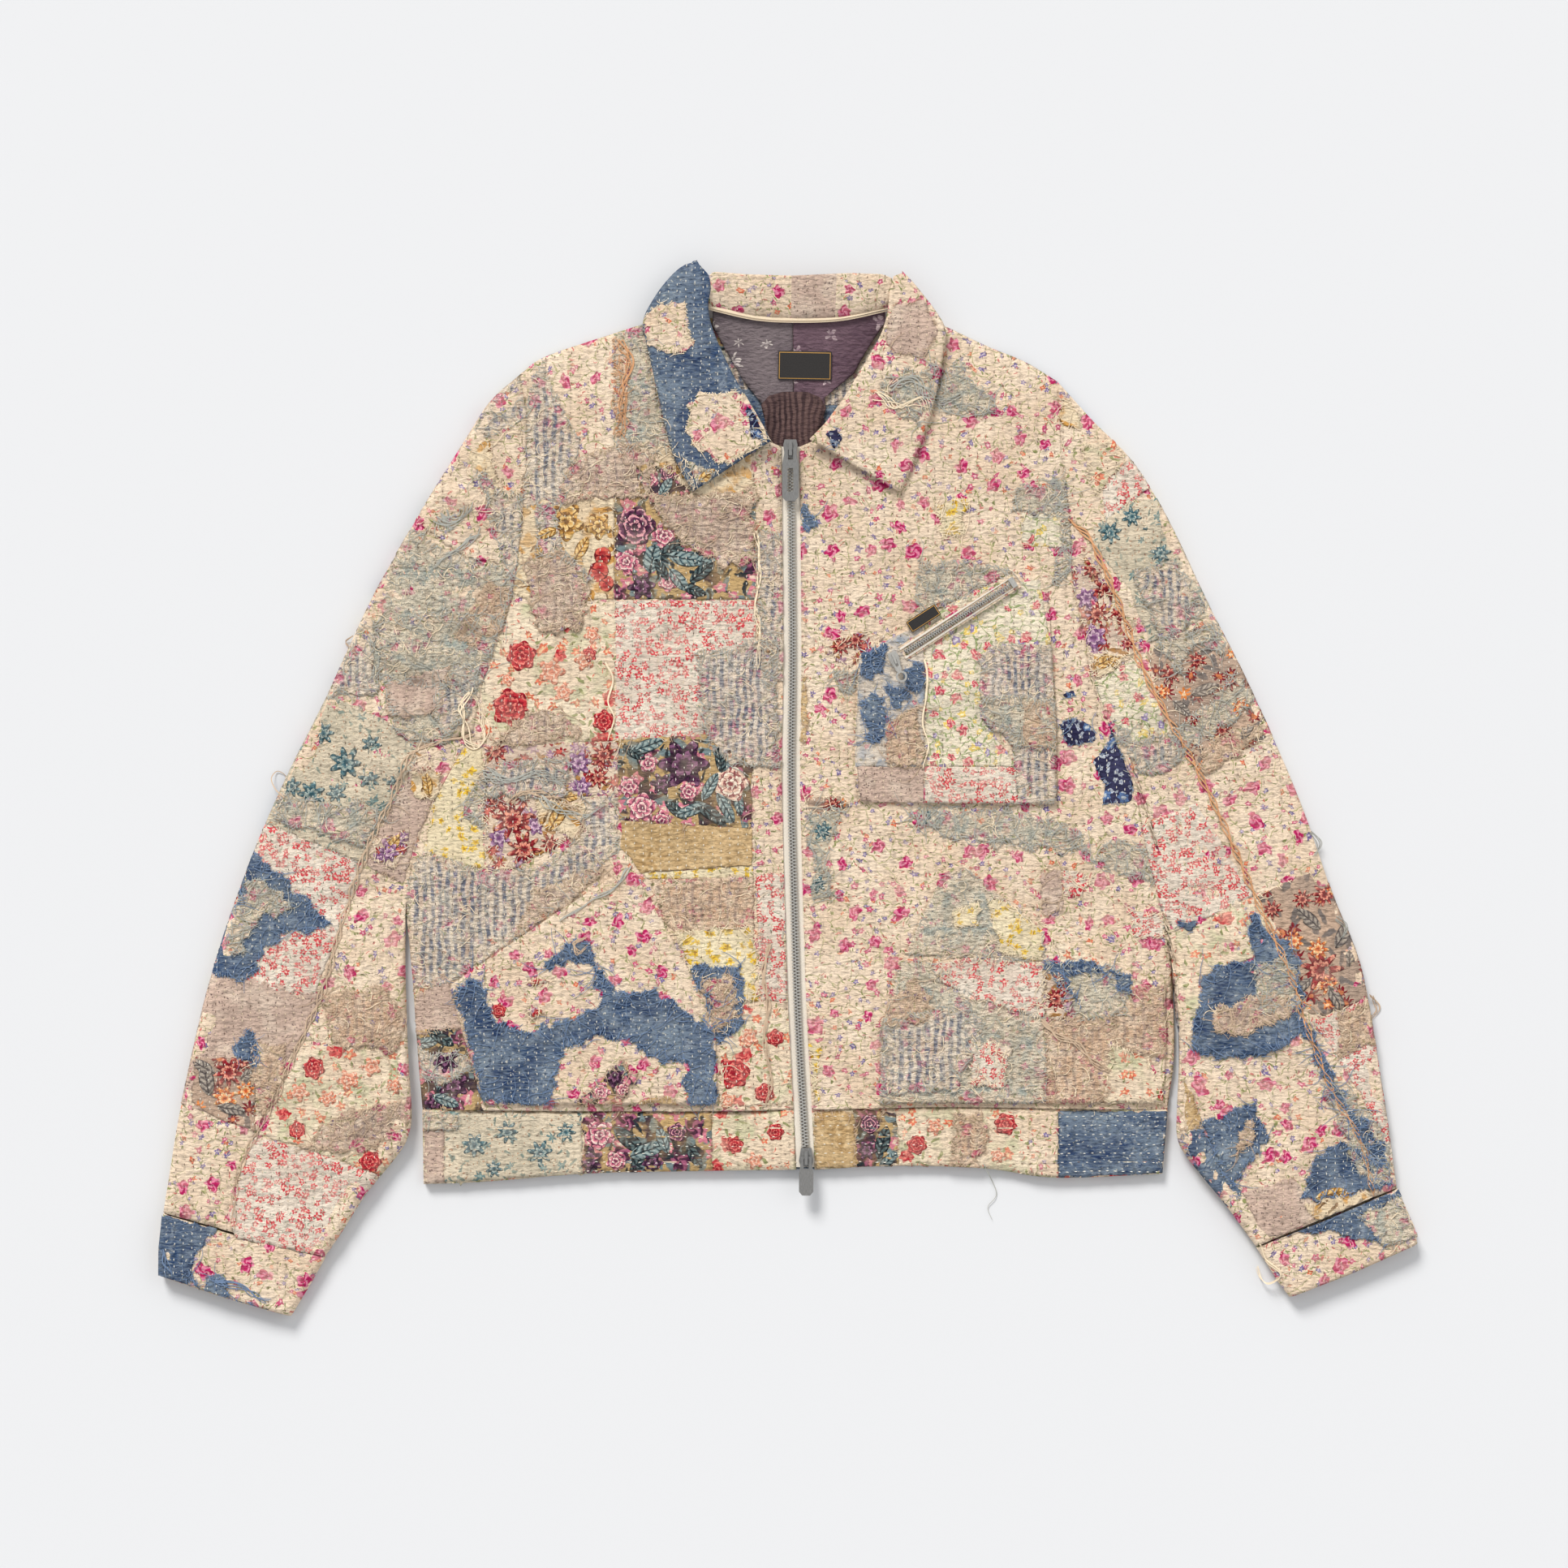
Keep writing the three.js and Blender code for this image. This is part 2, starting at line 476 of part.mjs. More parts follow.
function unite(first, ...others) {
  const solid = others.reduce((sum, item) => sum.add(toSolid(item)), toSolid(first));
  const { vertProperties, triVerts } = solid.getMesh();
  const geometry = new THREE.BufferGeometry();
  geometry.setAttribute('position', new THREE.BufferAttribute(vertProperties, 3));
  geometry.setIndex(new THREE.BufferAttribute(triVerts, 1));
  return geometry;
}

const extrude = (shape, depth) => new THREE.ExtrudeGeometry(shape, { depth, bevelEnabled: false, curveSegments: 6 });
const outline = (points) => new THREE.Shape(points.map(([x, y]) => new THREE.Vector2(x, y)));

// A slider plate with a bridge; the pull's crossbar turns under the bridge, on the local X axis
function slider(name, at, level, turn, { length, width, height, bridge, room }) {
  const half = length / 2;
  const plan = outline([[-0.36 * width, -half], [0.36 * width, -half], [0.5 * width, half - 4],
    [0.4 * width, half], [-0.4 * width, half], [-0.5 * width, half - 4]]);
  const arch = outline([[-half + 1.6, 0], [half - 1.6, 0], [half - 1.6, room + 1.2], [-half + 1.6, room + 1.2]]);
  arch.holes.push(new THREE.Path([[-half + 3, -1], [-half + 3, room], [half - 3, room], [half - 3, -1]]
    .map(([x, y]) => new THREE.Vector2(x, Math.max(y, 0.4)))));
  const bow = extrude(arch, bridge);
  bow.rotateX(Math.PI / 2);
  bow.rotateZ(Math.PI / 2);
  bow.translate(-bridge / 2, 0, height - 0.4);
  const mesh = add(name, unite(extrude(plan, height), bow), COLORS.metal, 1, 0.35);
  mesh.position.set(at[0], at[1], level);
  mesh.rotation.z = THREE.MathUtils.degToRad(turn);
}

// A pull plate: its crossbar lies on the local X axis and the plate runs towards -Y
function pull(name, shape, at, level, turn, thickness) {
  const geometry = extrude(shape, thickness);
  geometry.translate(0, 0, -thickness / 2);
  const mesh = add(name, geometry, COLORS.metal, 1, 0.35);
  mesh.position.set(at[0], at[1], level);
  mesh.rotation.z = THREE.MathUtils.degToRad(turn);
}

function slot(halfWidth, from, to) {
  return new THREE.Path([[-halfWidth, from], [-halfWidth, to], [halfWidth, to], [halfWidth, from]]
    .map(([x, y]) => new THREE.Vector2(x, y)));
}

function tabShape(length, width, window) {
  const head = 0.38 * width;
  const foot = 0.5 * width;
  const shape = outline([[-head, 1], [-head, -4], [-foot, -12], [-foot, -length + 3],
    [-foot + 2.5, -length], [foot - 2.5, -length], [foot, -length + 3], [foot, -12], [head, -4], [head, 1]]);
  shape.holes.push(slot(window, -1, -8.5));
  return shape;
}

const PULL_THICKNESS = 1.6;
const SLIDER = { length: 14, width: 11, height: 5, bridge: 2.4, room: 3.4 };
const SLIDER_LEVEL = CHAIN_LEVEL + 0.3;
const PIVOT_LEVEL = SLIDER_LEVEL + SLIDER.height + 1.4;
slider('top_slider', TOP_SLIDER, SLIDER_LEVEL, 0, SLIDER);
const topTab = tabShape(40, 12.5, 1.9);
topTab.holes.push(slot(2.2, -15, -33));
pull('top_pull', topTab, TOP_SLIDER, PIVOT_LEVEL, 0, PULL_THICKNESS);
slider('bottom_slider', BOTTOM_SLIDER, SLIDER_LEVEL, 180, SLIDER);
pull('bottom_pull', tabShape(29, 11, 1.9), BOTTOM_SLIDER, PIVOT_LEVEL, 0, PULL_THICKNESS);

// ---- Chest pocket's slanted zip
const CHEST_TURN = 32.8;
const CHEST_MIDDLE = [129, 130.5];
const chestLevel = pocketUnder(...CHEST_MIDDLE) + POCKET + 0.9;
const chestAlong = (d, side = 0) => {
  const a = THREE.MathUtils.degToRad(CHEST_TURN);
  return [CHEST_MIDDLE[0] + d * Math.cos(a) - side * Math.sin(a),
    CHEST_MIDDLE[1] + d * Math.sin(a) + side * Math.cos(a)];
};
add('chest_zip_tape', plate(104, 12, 1, [...chestAlong(2), chestLevel], CHEST_TURN), COLORS.tape);
const chestChainLevel = chestLevel + 1 + GAP;
add('chest_zip_chain', plate(96, 5, 2, [...chestAlong(-1.5), chestChainLevel], CHEST_TURN), COLORS.metal, 1, 0.4);
add('chest_zip_end', plate(4, 8, 2.4, [...chestAlong(50), chestChainLevel], CHEST_TURN), COLORS.metal, 1, 0.4);
add('chest_tag', plate(26, 10, 1, [...chestAlong(-22, 14), chestLevel], CHEST_TURN), COLORS.label);
const CHEST_SLIDER = { length: 11, width: 8, height: 3, bridge: 1.6, room: 2.6 };
const CHEST_PULL_TURN = 22;
const chestSlider = chestAlong(-57.5);
slider('chest_slider', chestSlider, chestChainLevel, CHEST_PULL_TURN, CHEST_SLIDER);
const ring = new THREE.Shape();
ring.absarc(0, -14.5, 4.4, Math.PI * 0.6, Math.PI * 2.4);
ring.lineTo(2.4, -9);
ring.lineTo(2.4, 0.8);
ring.lineTo(-2.4, 0.8);
ring.lineTo(-2.4, -9);
ring.holes.push(slot(1.2, -0.8, -6));
const bore = new THREE.Path();
bore.absarc(0, -14.5, 2.9, 0, Math.PI * 2, true);
ring.holes.push(bore);
pull('chest_pull', ring, chestSlider, chestChainLevel + CHEST_SLIDER.height + 1.1, CHEST_PULL_TURN, 1.2);

export default group;
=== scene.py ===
import math
import random

import bmesh
import bpy
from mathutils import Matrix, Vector, noise
from mathutils.bvhtree import BVHTree
from mathutils.kdtree import KDTree


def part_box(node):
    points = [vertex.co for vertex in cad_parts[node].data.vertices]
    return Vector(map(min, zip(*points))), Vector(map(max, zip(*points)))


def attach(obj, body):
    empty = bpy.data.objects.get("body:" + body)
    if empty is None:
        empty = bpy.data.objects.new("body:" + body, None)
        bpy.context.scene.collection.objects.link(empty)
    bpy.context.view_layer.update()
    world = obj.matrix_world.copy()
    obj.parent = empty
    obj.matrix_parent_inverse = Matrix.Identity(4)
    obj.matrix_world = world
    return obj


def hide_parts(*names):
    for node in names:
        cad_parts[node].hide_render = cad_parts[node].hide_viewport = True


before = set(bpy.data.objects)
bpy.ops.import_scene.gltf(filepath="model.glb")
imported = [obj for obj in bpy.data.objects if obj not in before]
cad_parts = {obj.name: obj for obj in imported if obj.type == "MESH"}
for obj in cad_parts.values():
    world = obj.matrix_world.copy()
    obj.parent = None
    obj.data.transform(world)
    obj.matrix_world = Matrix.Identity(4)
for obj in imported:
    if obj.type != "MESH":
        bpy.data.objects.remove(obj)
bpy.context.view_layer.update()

scene = bpy.context.scene
mm = 0.001

# camera straight above the laid-out jacket, then floor and soft light from the collar side
studio = dict(aim=(-0.0034, 0.004), width=1.1978, lens=90.0, sensor=36.0, floor=(209, 210, 212))


def dye(red, green, blue):
    return tuple(((c / 255 + 0.055) / 1.055) ** 2.4 if c > 10 else c / 3294
        for c in (red, green, blue)) + (1.0,)


def makeStudio():
    lens = bpy.data.cameras.new("tableCamera")
    lens.lens, lens.sensor_width = studio["lens"], studio["sensor"]
    camera = bpy.data.objects.new("tableCamera", lens)
    distance = studio["width"] / studio["sensor"] * studio["lens"]
    camera.location = (*studio["aim"], distance + 0.01)
    scene.collection.objects.link(camera)
    scene.camera = camera

    bm = bmesh.new()
    bmesh.ops.create_grid(bm, x_segments=1, y_segments=1, size=6)
    mesh = bpy.data.meshes.new("floor")
    bm.to_mesh(mesh)
    bm.free()
    floor = bpy.data.objects.new("floor", mesh)
    scene.collection.objects.link(floor)
    floor.location.z = -0.0004
    paint = bpy.data.materials.new("floorPaint")
    paint.use_nodes = True
    shader = paint.node_tree.nodes["Principled BSDF"]
    shader.inputs["Base Color"].default_value = dye(*studio["floor"])
    shader.inputs["Roughness"].default_value = 0.9
    mesh.materials.append(paint)

    for name, place, spread, power in (("keyLight", (-0.9, 2.2, 1.75), 0.35, 3.2),
            ("rimLight", (1.6, 0.6, 1.2), 0.9, 0.5)):
        lamp = bpy.data.lights.new(name, "SUN")
        lamp.angle, lamp.energy, lamp.color = spread, power, (1, 0.985, 0.96)
        lampObject = bpy.data.objects.new(name, lamp)
        lampObject.location = place
        lampObject.rotation_euler = Vector(place).to_track_quat("Z", "Y").to_euler()
        scene.collection.objects.link(lampObject)
    world = bpy.data.worlds.new("studio")
    world.use_nodes = True
    world.node_tree.nodes["Background"].inputs["Color"].default_value = (0.985, 0.99, 1, 1)
    world.node_tree.nodes["Background"].inputs["Strength"].default_value = 0.68
    scene.world = world
    scene.view_settings.view_transform = "Standard"


makeStudio()
print("camera, floor and lights are set")

# seam and edge lines of the pattern, in millimetres on the table
rightSide = [(-280, -245), (-284, -197), (-288, -141), (-293, -90)]
rightArmLow = [(-293, -90), (-290, -67), (-280, -29), (-255, 20), (-241, 42)]
rightArmHigh = [(-241, 42), (-235, 76), (-217, 129), (-208, 169), (-202, 231), (-200, 281), (-206, 317)]
rightShoulder = [(-206, 317), (-186, 331), (-133, 349), (-92, 362)]
rightNeck = [(-92, 362), (-78, 330), (-60, 302), (-38, 277), (-6, 262)]
leftSide = [(290, -245), (295, -203), (294, -153), (291, -110)]
leftArmLow = [(291, -110), (275, -54), (268, -12), (256, 26), (242, 57), (232, 83), (226, 119), (218, 157),
              (215, 206)]
leftArmHigh = [(215, 206), (209, 256), (206, 312)]
leftShoulder = [(206, 312), (181, 327), (150, 340), (104, 362)]
leftNeck = [(104, 362), (88, 330), (66, 302), (42, 277), (9, 262)]
backNeck = [(-92, 362), (-45, 360), (3, 357), (50, 358), (104, 362)]
zipLine = [(11, -245), (7, -172), (4, -79), (2, 8), (3, 107), (2, 219), (1.5, 262)]
hemSeamRight = [(-280, -245), (-168, -246), (-44, -246), (4, -245)]
hemSeamLeft = [(18, -245), (111, -243), (204, -244), (290, -245)]
hemEdgeRight = [(-279, -302), (-230, -300), (-156, -294), (-69, -292), (6, -291)]
hemEdgeLeft = [(20, -291), (80, -288), (150, -290), (204, -297), (286, -294)]
rightOuter = [(-206, 317), (-228, 297), (-245, 271), (-283, 209), (-319, 145), (-354, 69), (-385, 7),
              (-413, -59), (-440, -138), (-463, -234), (-478, -323)]
rightInner = [(-293, -90), (-293, -141), (-291, -197), (-288, -246), (-291, -266), (-299, -280),
    (-323, -310),
              (-343, -341), (-354, -357)]
rightSeam = [(-241, 42), (-285, 29), (-301, -3), (-321, -44), (-341, -102), (-354, -150), (-376, -201),
             (-392, -237), (-406, -263), (-421, -298), (-424, -338)]
leftOuter = [(206, 312), (233, 282), (263, 251), (289, 209), (319, 146), (351, 82), (388, -1), (416, -80),
             (438, -137), (454, -228), (465, -304)]
leftInner = [(291, -110), (298, -153), (299, -203), (297, -246), (297, -266), (303, -279), (317, -297),
             (335, -319), (357, -349)]
leftSeam = [(215, 206), (232, 188), (255, 134), (275, 82), (315, 9), (340, -45), (362, -95), (384, -144),
            (393, -175), (414, -228), (436, -268), (447, -311)]
rightRoll = [(-13, 266), (-28, 292), (-44, 320), (-57, 349), (-61, 368), (-59, 382), (-60, 391), (-66, 398)]
rightLeaf = [(-73, 227), (-88, 255), (-99, 299), (-108, 339), (-111, 357), (-103, 374), (-92, 389),
    (-81, 399),
             (-71, 402.4)]
leftRoll = [(16, 267), (28, 280), (43, 300), (55, 320), (69, 344), (75, 362), (77, 380), (80, 391)]
leftLeaf = [(86, 226), (104, 271), (112, 299), (118, 330), (120, 350), (113, 364), (103, 377), (94, 388),
            (88, 394)]
pocketRightLine = [(-233, -241), (-246, -196), (-259, -150), (-190, -103), (-126, -61), (-118, -62),
    (-94, -104),
                   (-70, -150), (-56, -184), (-54, -241)]
pocketLeftLine = [(69, -240), (72, -180), (84, -137), (108, -84), (122, -57), (134, -58), (200, -112),
                  (262, -140), (288, -148), (289, -190), (286, -240)]
chestPocketLine = [(54, -10), (50, 18), (51, 58), (54, 103), (120, 140), (171, 165), (193, 162), (199, 142),
                   (204, 58), (205, -12)]


def ease(t):
    t = min(max(t, 0), 1)
    return t * t * (3 - 2 * t)


def mix(a, b, t):
    return a + (b - a) * t


def smoothLine(points, spacing=4.0):
    # an evenly spaced smooth line through given points
    ends = [2 * Vector(points[0]) - Vector(points[1])] + [Vector(p) for p in points]
    ends.append(2 * ends[-1] - ends[-2])
    dense = []
    for before, a, b, after in zip(ends, ends[1:], ends[2:], ends[3:]):
        for k in range(12):
            t = k / 12
            dense.append(0.5 * ((2 * a) + (b - before) * t + (2 * before - 5 * a + 4 * b - after) * t * t
                                + (3 * a - before - 3 * b + after) * t ** 3))
    dense.append(Vector(points[-1]))
    return respace(dense, spacing)


def respace(line, spacing=None, count=None):
    reach = [0.0]
    for a, b in zip(line, line[1:]):
        reach.append(reach[-1] + (b - a).length)
    count = count or max(2, round(reach[-1] / spacing))
    out, k = [], 0
    for step in range(count + 1):
        goal = reach[-1] * step / count
        while k < len(line) - 2 and reach[k + 1] < goal:
            k += 1
        span = reach[k + 1] - reach[k]
        out.append(line[k].lerp(line[k + 1], (goal - reach[k]) / span if span else 0))
    return out


def nearness(*lines):
    points = [p for line in lines for p in smoothLine(line, 1.5)]
    tree = KDTree(len(points))
    for k, p in enumerate(points):
        tree.insert((p.x, p.y, 0), k)
    tree.balance()
    return lambda x, y: tree.find((x, y, 0))[2]


def outlineOf(*lines):
    loop = []
    for line in lines:
        for p in line:
            if not loop or (p - loop[-1]).length > 0.8:
                loop.append(p)
    return loop[:-1] if (loop[0] - loop[-1]).length <= 0.8 else loop


def back(line):
    return smoothLine(line)[::-1]


def closed(line):
    return respace([Vector(p) for p in line + line[:1]], 4)[:-1]


zipRight = [(x - 7, y) for x, y in zipLine]
zipLeft = [(x + 7, y) for x, y in zipLine]
outlines = {
    "frontRight": outlineOf(smoothLine(hemSeamRight), smoothLine(zipRight), back(rightNeck),
        back(rightShoulder),
                            back(rightArmHigh), back(rightArmLow), back(rightSide)),
    "frontLeft": outlineOf(smoothLine(hemSeamLeft), smoothLine(leftSide), smoothLine(leftArmLow),
                           smoothLine(leftArmHigh), smoothLine(leftShoulder), smoothLine(leftNeck),
                           back(zipLeft)),
    "back": outlineOf(smoothLine(hemSeamRight), smoothLine(hemSeamLeft), smoothLine(leftSide),
                      smoothLine(leftArmLow), smoothLine(leftArmHigh), smoothLine(leftShoulder),
                      back(backNeck), back(rightShoulder), back(rightArmHigh), back(rightArmLow),
                      back(rightSide)),
    "hemRight": outlineOf(smoothLine(hemEdgeRight), back(hemSeamRight)),
    "hemLeft": outlineOf(smoothLine(hemEdgeLeft), back(hemSeamLeft)),
    "hemBack": outlineOf(smoothLine(hemEdgeRight), smoothLine(hemEdgeLeft), back(hemSeamLeft),
                         back(hemSeamRight)),
    "pocketRight": closed(pocketRightLine),
    "pocketLeft": closed(pocketLeftLine),
    "chestPocket": closed(chestPocketLine),
    "sleeveRight": outlineOf(smoothLine(rightOuter), [Vector((-424, -342)), Vector((-354, -357))],
                             back(rightInner), smoothLine(rightArmLow), smoothLine(rightArmHigh)),
    "sleeveLeft": outlineOf(back(leftOuter), back(leftArmHigh), back(leftArmLow), smoothLine(leftInner)),
    "cuffRight": [Vector(p) for p in ((-478, -324), (-480.8, -350), (-481, -371), (-440, -384),
        (-380, -402.5),
                                      (-364, -376), (-354, -358), (-415, -341))],
    "cuffLeft": [Vector(p) for p in ((357.5, -350), (374, -376), (383, -388), (430, -370), (481, -347),
                                     (479, -335), (465.5, -305), (410, -329))],
    "collarRight": outlineOf(smoothLine(rightRoll), back(rightLeaf)),
    "collarLeft": outlineOf(smoothLine(leftRoll), back(leftLeaf)),
}
foldEdge = nearness(rightSide, leftSide, rightShoulder, leftShoulder)
armEdge = nearness(rightArmLow, rightArmHigh, leftArmLow, leftArmHigh)
sleeveFold = nearness(rightOuter, rightInner, leftOuter, leftInner)
collarRollEdge = nearness(rightRoll, leftRoll)
collarLeafEdge = nearness(rightLeaf, leftLeaf)
pocketEdge = {name: nearness([tuple(p) for p in outlines[name]] + [tuple(outlines[name][0])])
              for name in ("pocketRight", "pocketLeft", "chestPocket", "hemRight", "hemLeft")}


def inside(name, x, y):
    odd, loop = False, outlines[name]
    for a, b in zip(loop, loop[1:] + loop[:1]):
        if (a.y > y) != (b.y > y) and x < (b.x - a.x) * (y - a.y) / (b.y - a.y) + a.x:
            odd = not odd
    return odd


# soft ridges and troughs, each from one point to another: (x, y, x, y, half width, height)
creases = [
    (222, -20, 250, -75, 9, 2.0), (240, -30, 262, -105, 8, -1.4), (250, -18, 285, -70, 9, 1.8),
    (208, -40, 222, -100, 9, 1.4), (120, -30, 195, -38, 8, 1.0), (-268, -30, -240, -105, 10, 1.6),
    (-250, 10, -222, -50, 9, -1.2), (-200, 150, -178, 40, 12, 1.2), (-230, 20, -150, -20, 9, 1.0),
    (150, 300, 205, 262, 9, 1.6), (135, 250, 200, 225, 8, 1.0), (-190, 300, -150, 240, 10, 1.2),
    (60, -190, 52, -90, 9, 1.3), (-40, -200, -28, -110, 9, 1.0), (-90, 60, -35, 20, 8, -0.9),
    (-300, 190, -225, 120, 9, 2.4), (-330, 110, -240, 60, 10, -1.8), (-350, 40, -262, 10, 9, 2.2),
    (-380, -20, -300, -40, 8, 1.6), (-400, -90, -310, -80, 9, -1.6), (-330, -130, -298, -220, 9, 2.4),
    (-352, -170, -318, -250, 8, 1.6), (-430, -190, -380, -230, 8, 1.2), (-440, -270, -400, -250, 7, 1.4),
    (-380, -290, -310, -250, 8, 1.5), (-270, 230, -222, 205, 8, 1.8), (-250, 60, -272, -20, 9, 2.0),
    (240, 250, 290, 160, 9, -1.6), (230, 200, 262, 120, 8, 2.2), (290, 160, 322, 90, 9, 1.8),
    (262, 95, 300, 20, 8, 2.0), (330, 70, 372, 20, 8, 1.6), (290, -10, 330, -60, 9, -1.6),
    (300, -70, 352, -130, 9, 1.8), (372, -60, 410, -120, 8, 1.6), (300, -140, 345, -230, 9, 2.2),
    (330, -180, 400, -210, 8, 1.4), (330, -250, 380, -330, 8, 1.8), (400, -230, 440, -290, 8, 1.6),
]


def creased(x, y):
    total = 2.4 * noise.noise((x / 34, y / 34, 3.7)) + 1.7 * noise.noise((x / 15, y / 12, 9.1))
    total += 1.0 * noise.noise((x / 9, y / 6.5, 2.3))
    for ax, ay, bx, by, width, height in creases:
        if min(ax, bx) - 30 < x < max(ax, bx) + 30 and min(ay, by) - 30 < y < max(ay, by) + 30:
            dx, dy = bx - ax, by - ay
            t = min(max(((x - ax) * dx + (y - ay) * dy) / (dx * dx + dy * dy), 0), 1)
            bend = 6 * math.sin(t * 5 + ax)
            away = math.hypot(x - ax - t * dx + bend * dy / 90, y - ay - t * dy - bend * dx / 90)
            total += 1.55 * height * math.exp(-(away / width) ** 2) * ease(1.2 - abs(2 * t - 1) * 0.9)
    return total


def rounded(d, radius, drop):
    return drop * (1 - math.sqrt(max(0, 1 - (1 - min(d / radius, 1)) ** 2)))


def frontTop(x, y):
    fold, arm = foldEdge(x, y), armEdge(x, y)
    rise = ease(min(fold, arm) / 45)
    calm = 0.25 + 0.75 * ease((abs(x - 4) - 14) / 30)
    seam = -1.0 * math.exp(-((y + 14 + 2 * math.sin(x / 60)) / 3.5) ** 2) if x > 11 else 0
    folds = (0.35 + 0.65 * rise) * calm * creased(x, y) * 0.8
    beside = 2.0 * ease(1.7 - abs(x - 4) / 14)
    return 6.4 + rise * 3.5 + folds + seam - beside - rounded(fold, 4, 3.2)


def backTop(x, y):
    return 3.0


def pocketTop(name, lift):
    def top(x, y):
        return frontTop(x, y) + lift - rounded(pocketEdge[name](x, y), 2.5, 1.6)
    return top


def hemTop(name):
    def top(x, y):
        edge = pocketEdge[name](x, y)
        ribs = 0.35 * math.cos(y * math.tau / 7.4) + 0.45 * noise.noise((x / 9, y / 12, 5))
        return 8.6 + ribs + 0.6 * noise.noise((x / 30, y / 30, 8)) - rounded(edge, 4.5, 3.2)
    return top


def sleeveRise(x, y):
    return 6.6 + 6.2 * ease(armEdge(x, y) / 60) + creased(x, y) * ease(armEdge(x, y) / 25)


def sleeveTop(x, y):
    high = sleeveRise(x, y)
    return high - rounded(sleeveFold(x, y), high / 2, high / 2)


def collarTop(x, y):
    roll, leaf = collarRollEdge(x, y), collarLeafEdge(x, y)
    share = roll / (roll + leaf + 0.01)
    wave = 0.9 * noise.noise((x / 22, y / 22, 6)) + 0.4 * noise.noise((x / 9, y / 9, 1))
    return mix(19.6, 16.0, share ** 0.7) + wave * ease(roll / 9)


panelTops = {
    "frontRight": frontTop, "frontLeft": frontTop, "back": backTop, "sleeveRight": sleeveTop,
    "sleeveLeft": sleeveTop, "pocketRight": pocketTop("pocketRight", 2.9),
    "pocketLeft": pocketTop("pocketLeft", 2.9), "chestPocket": pocketTop("chestPocket", 2.7),
    "hemRight": hemTop("hemRight"), "hemLeft": hemTop("hemLeft"),
    "collarRight": collarTop, "collarLeft": collarTop,
}

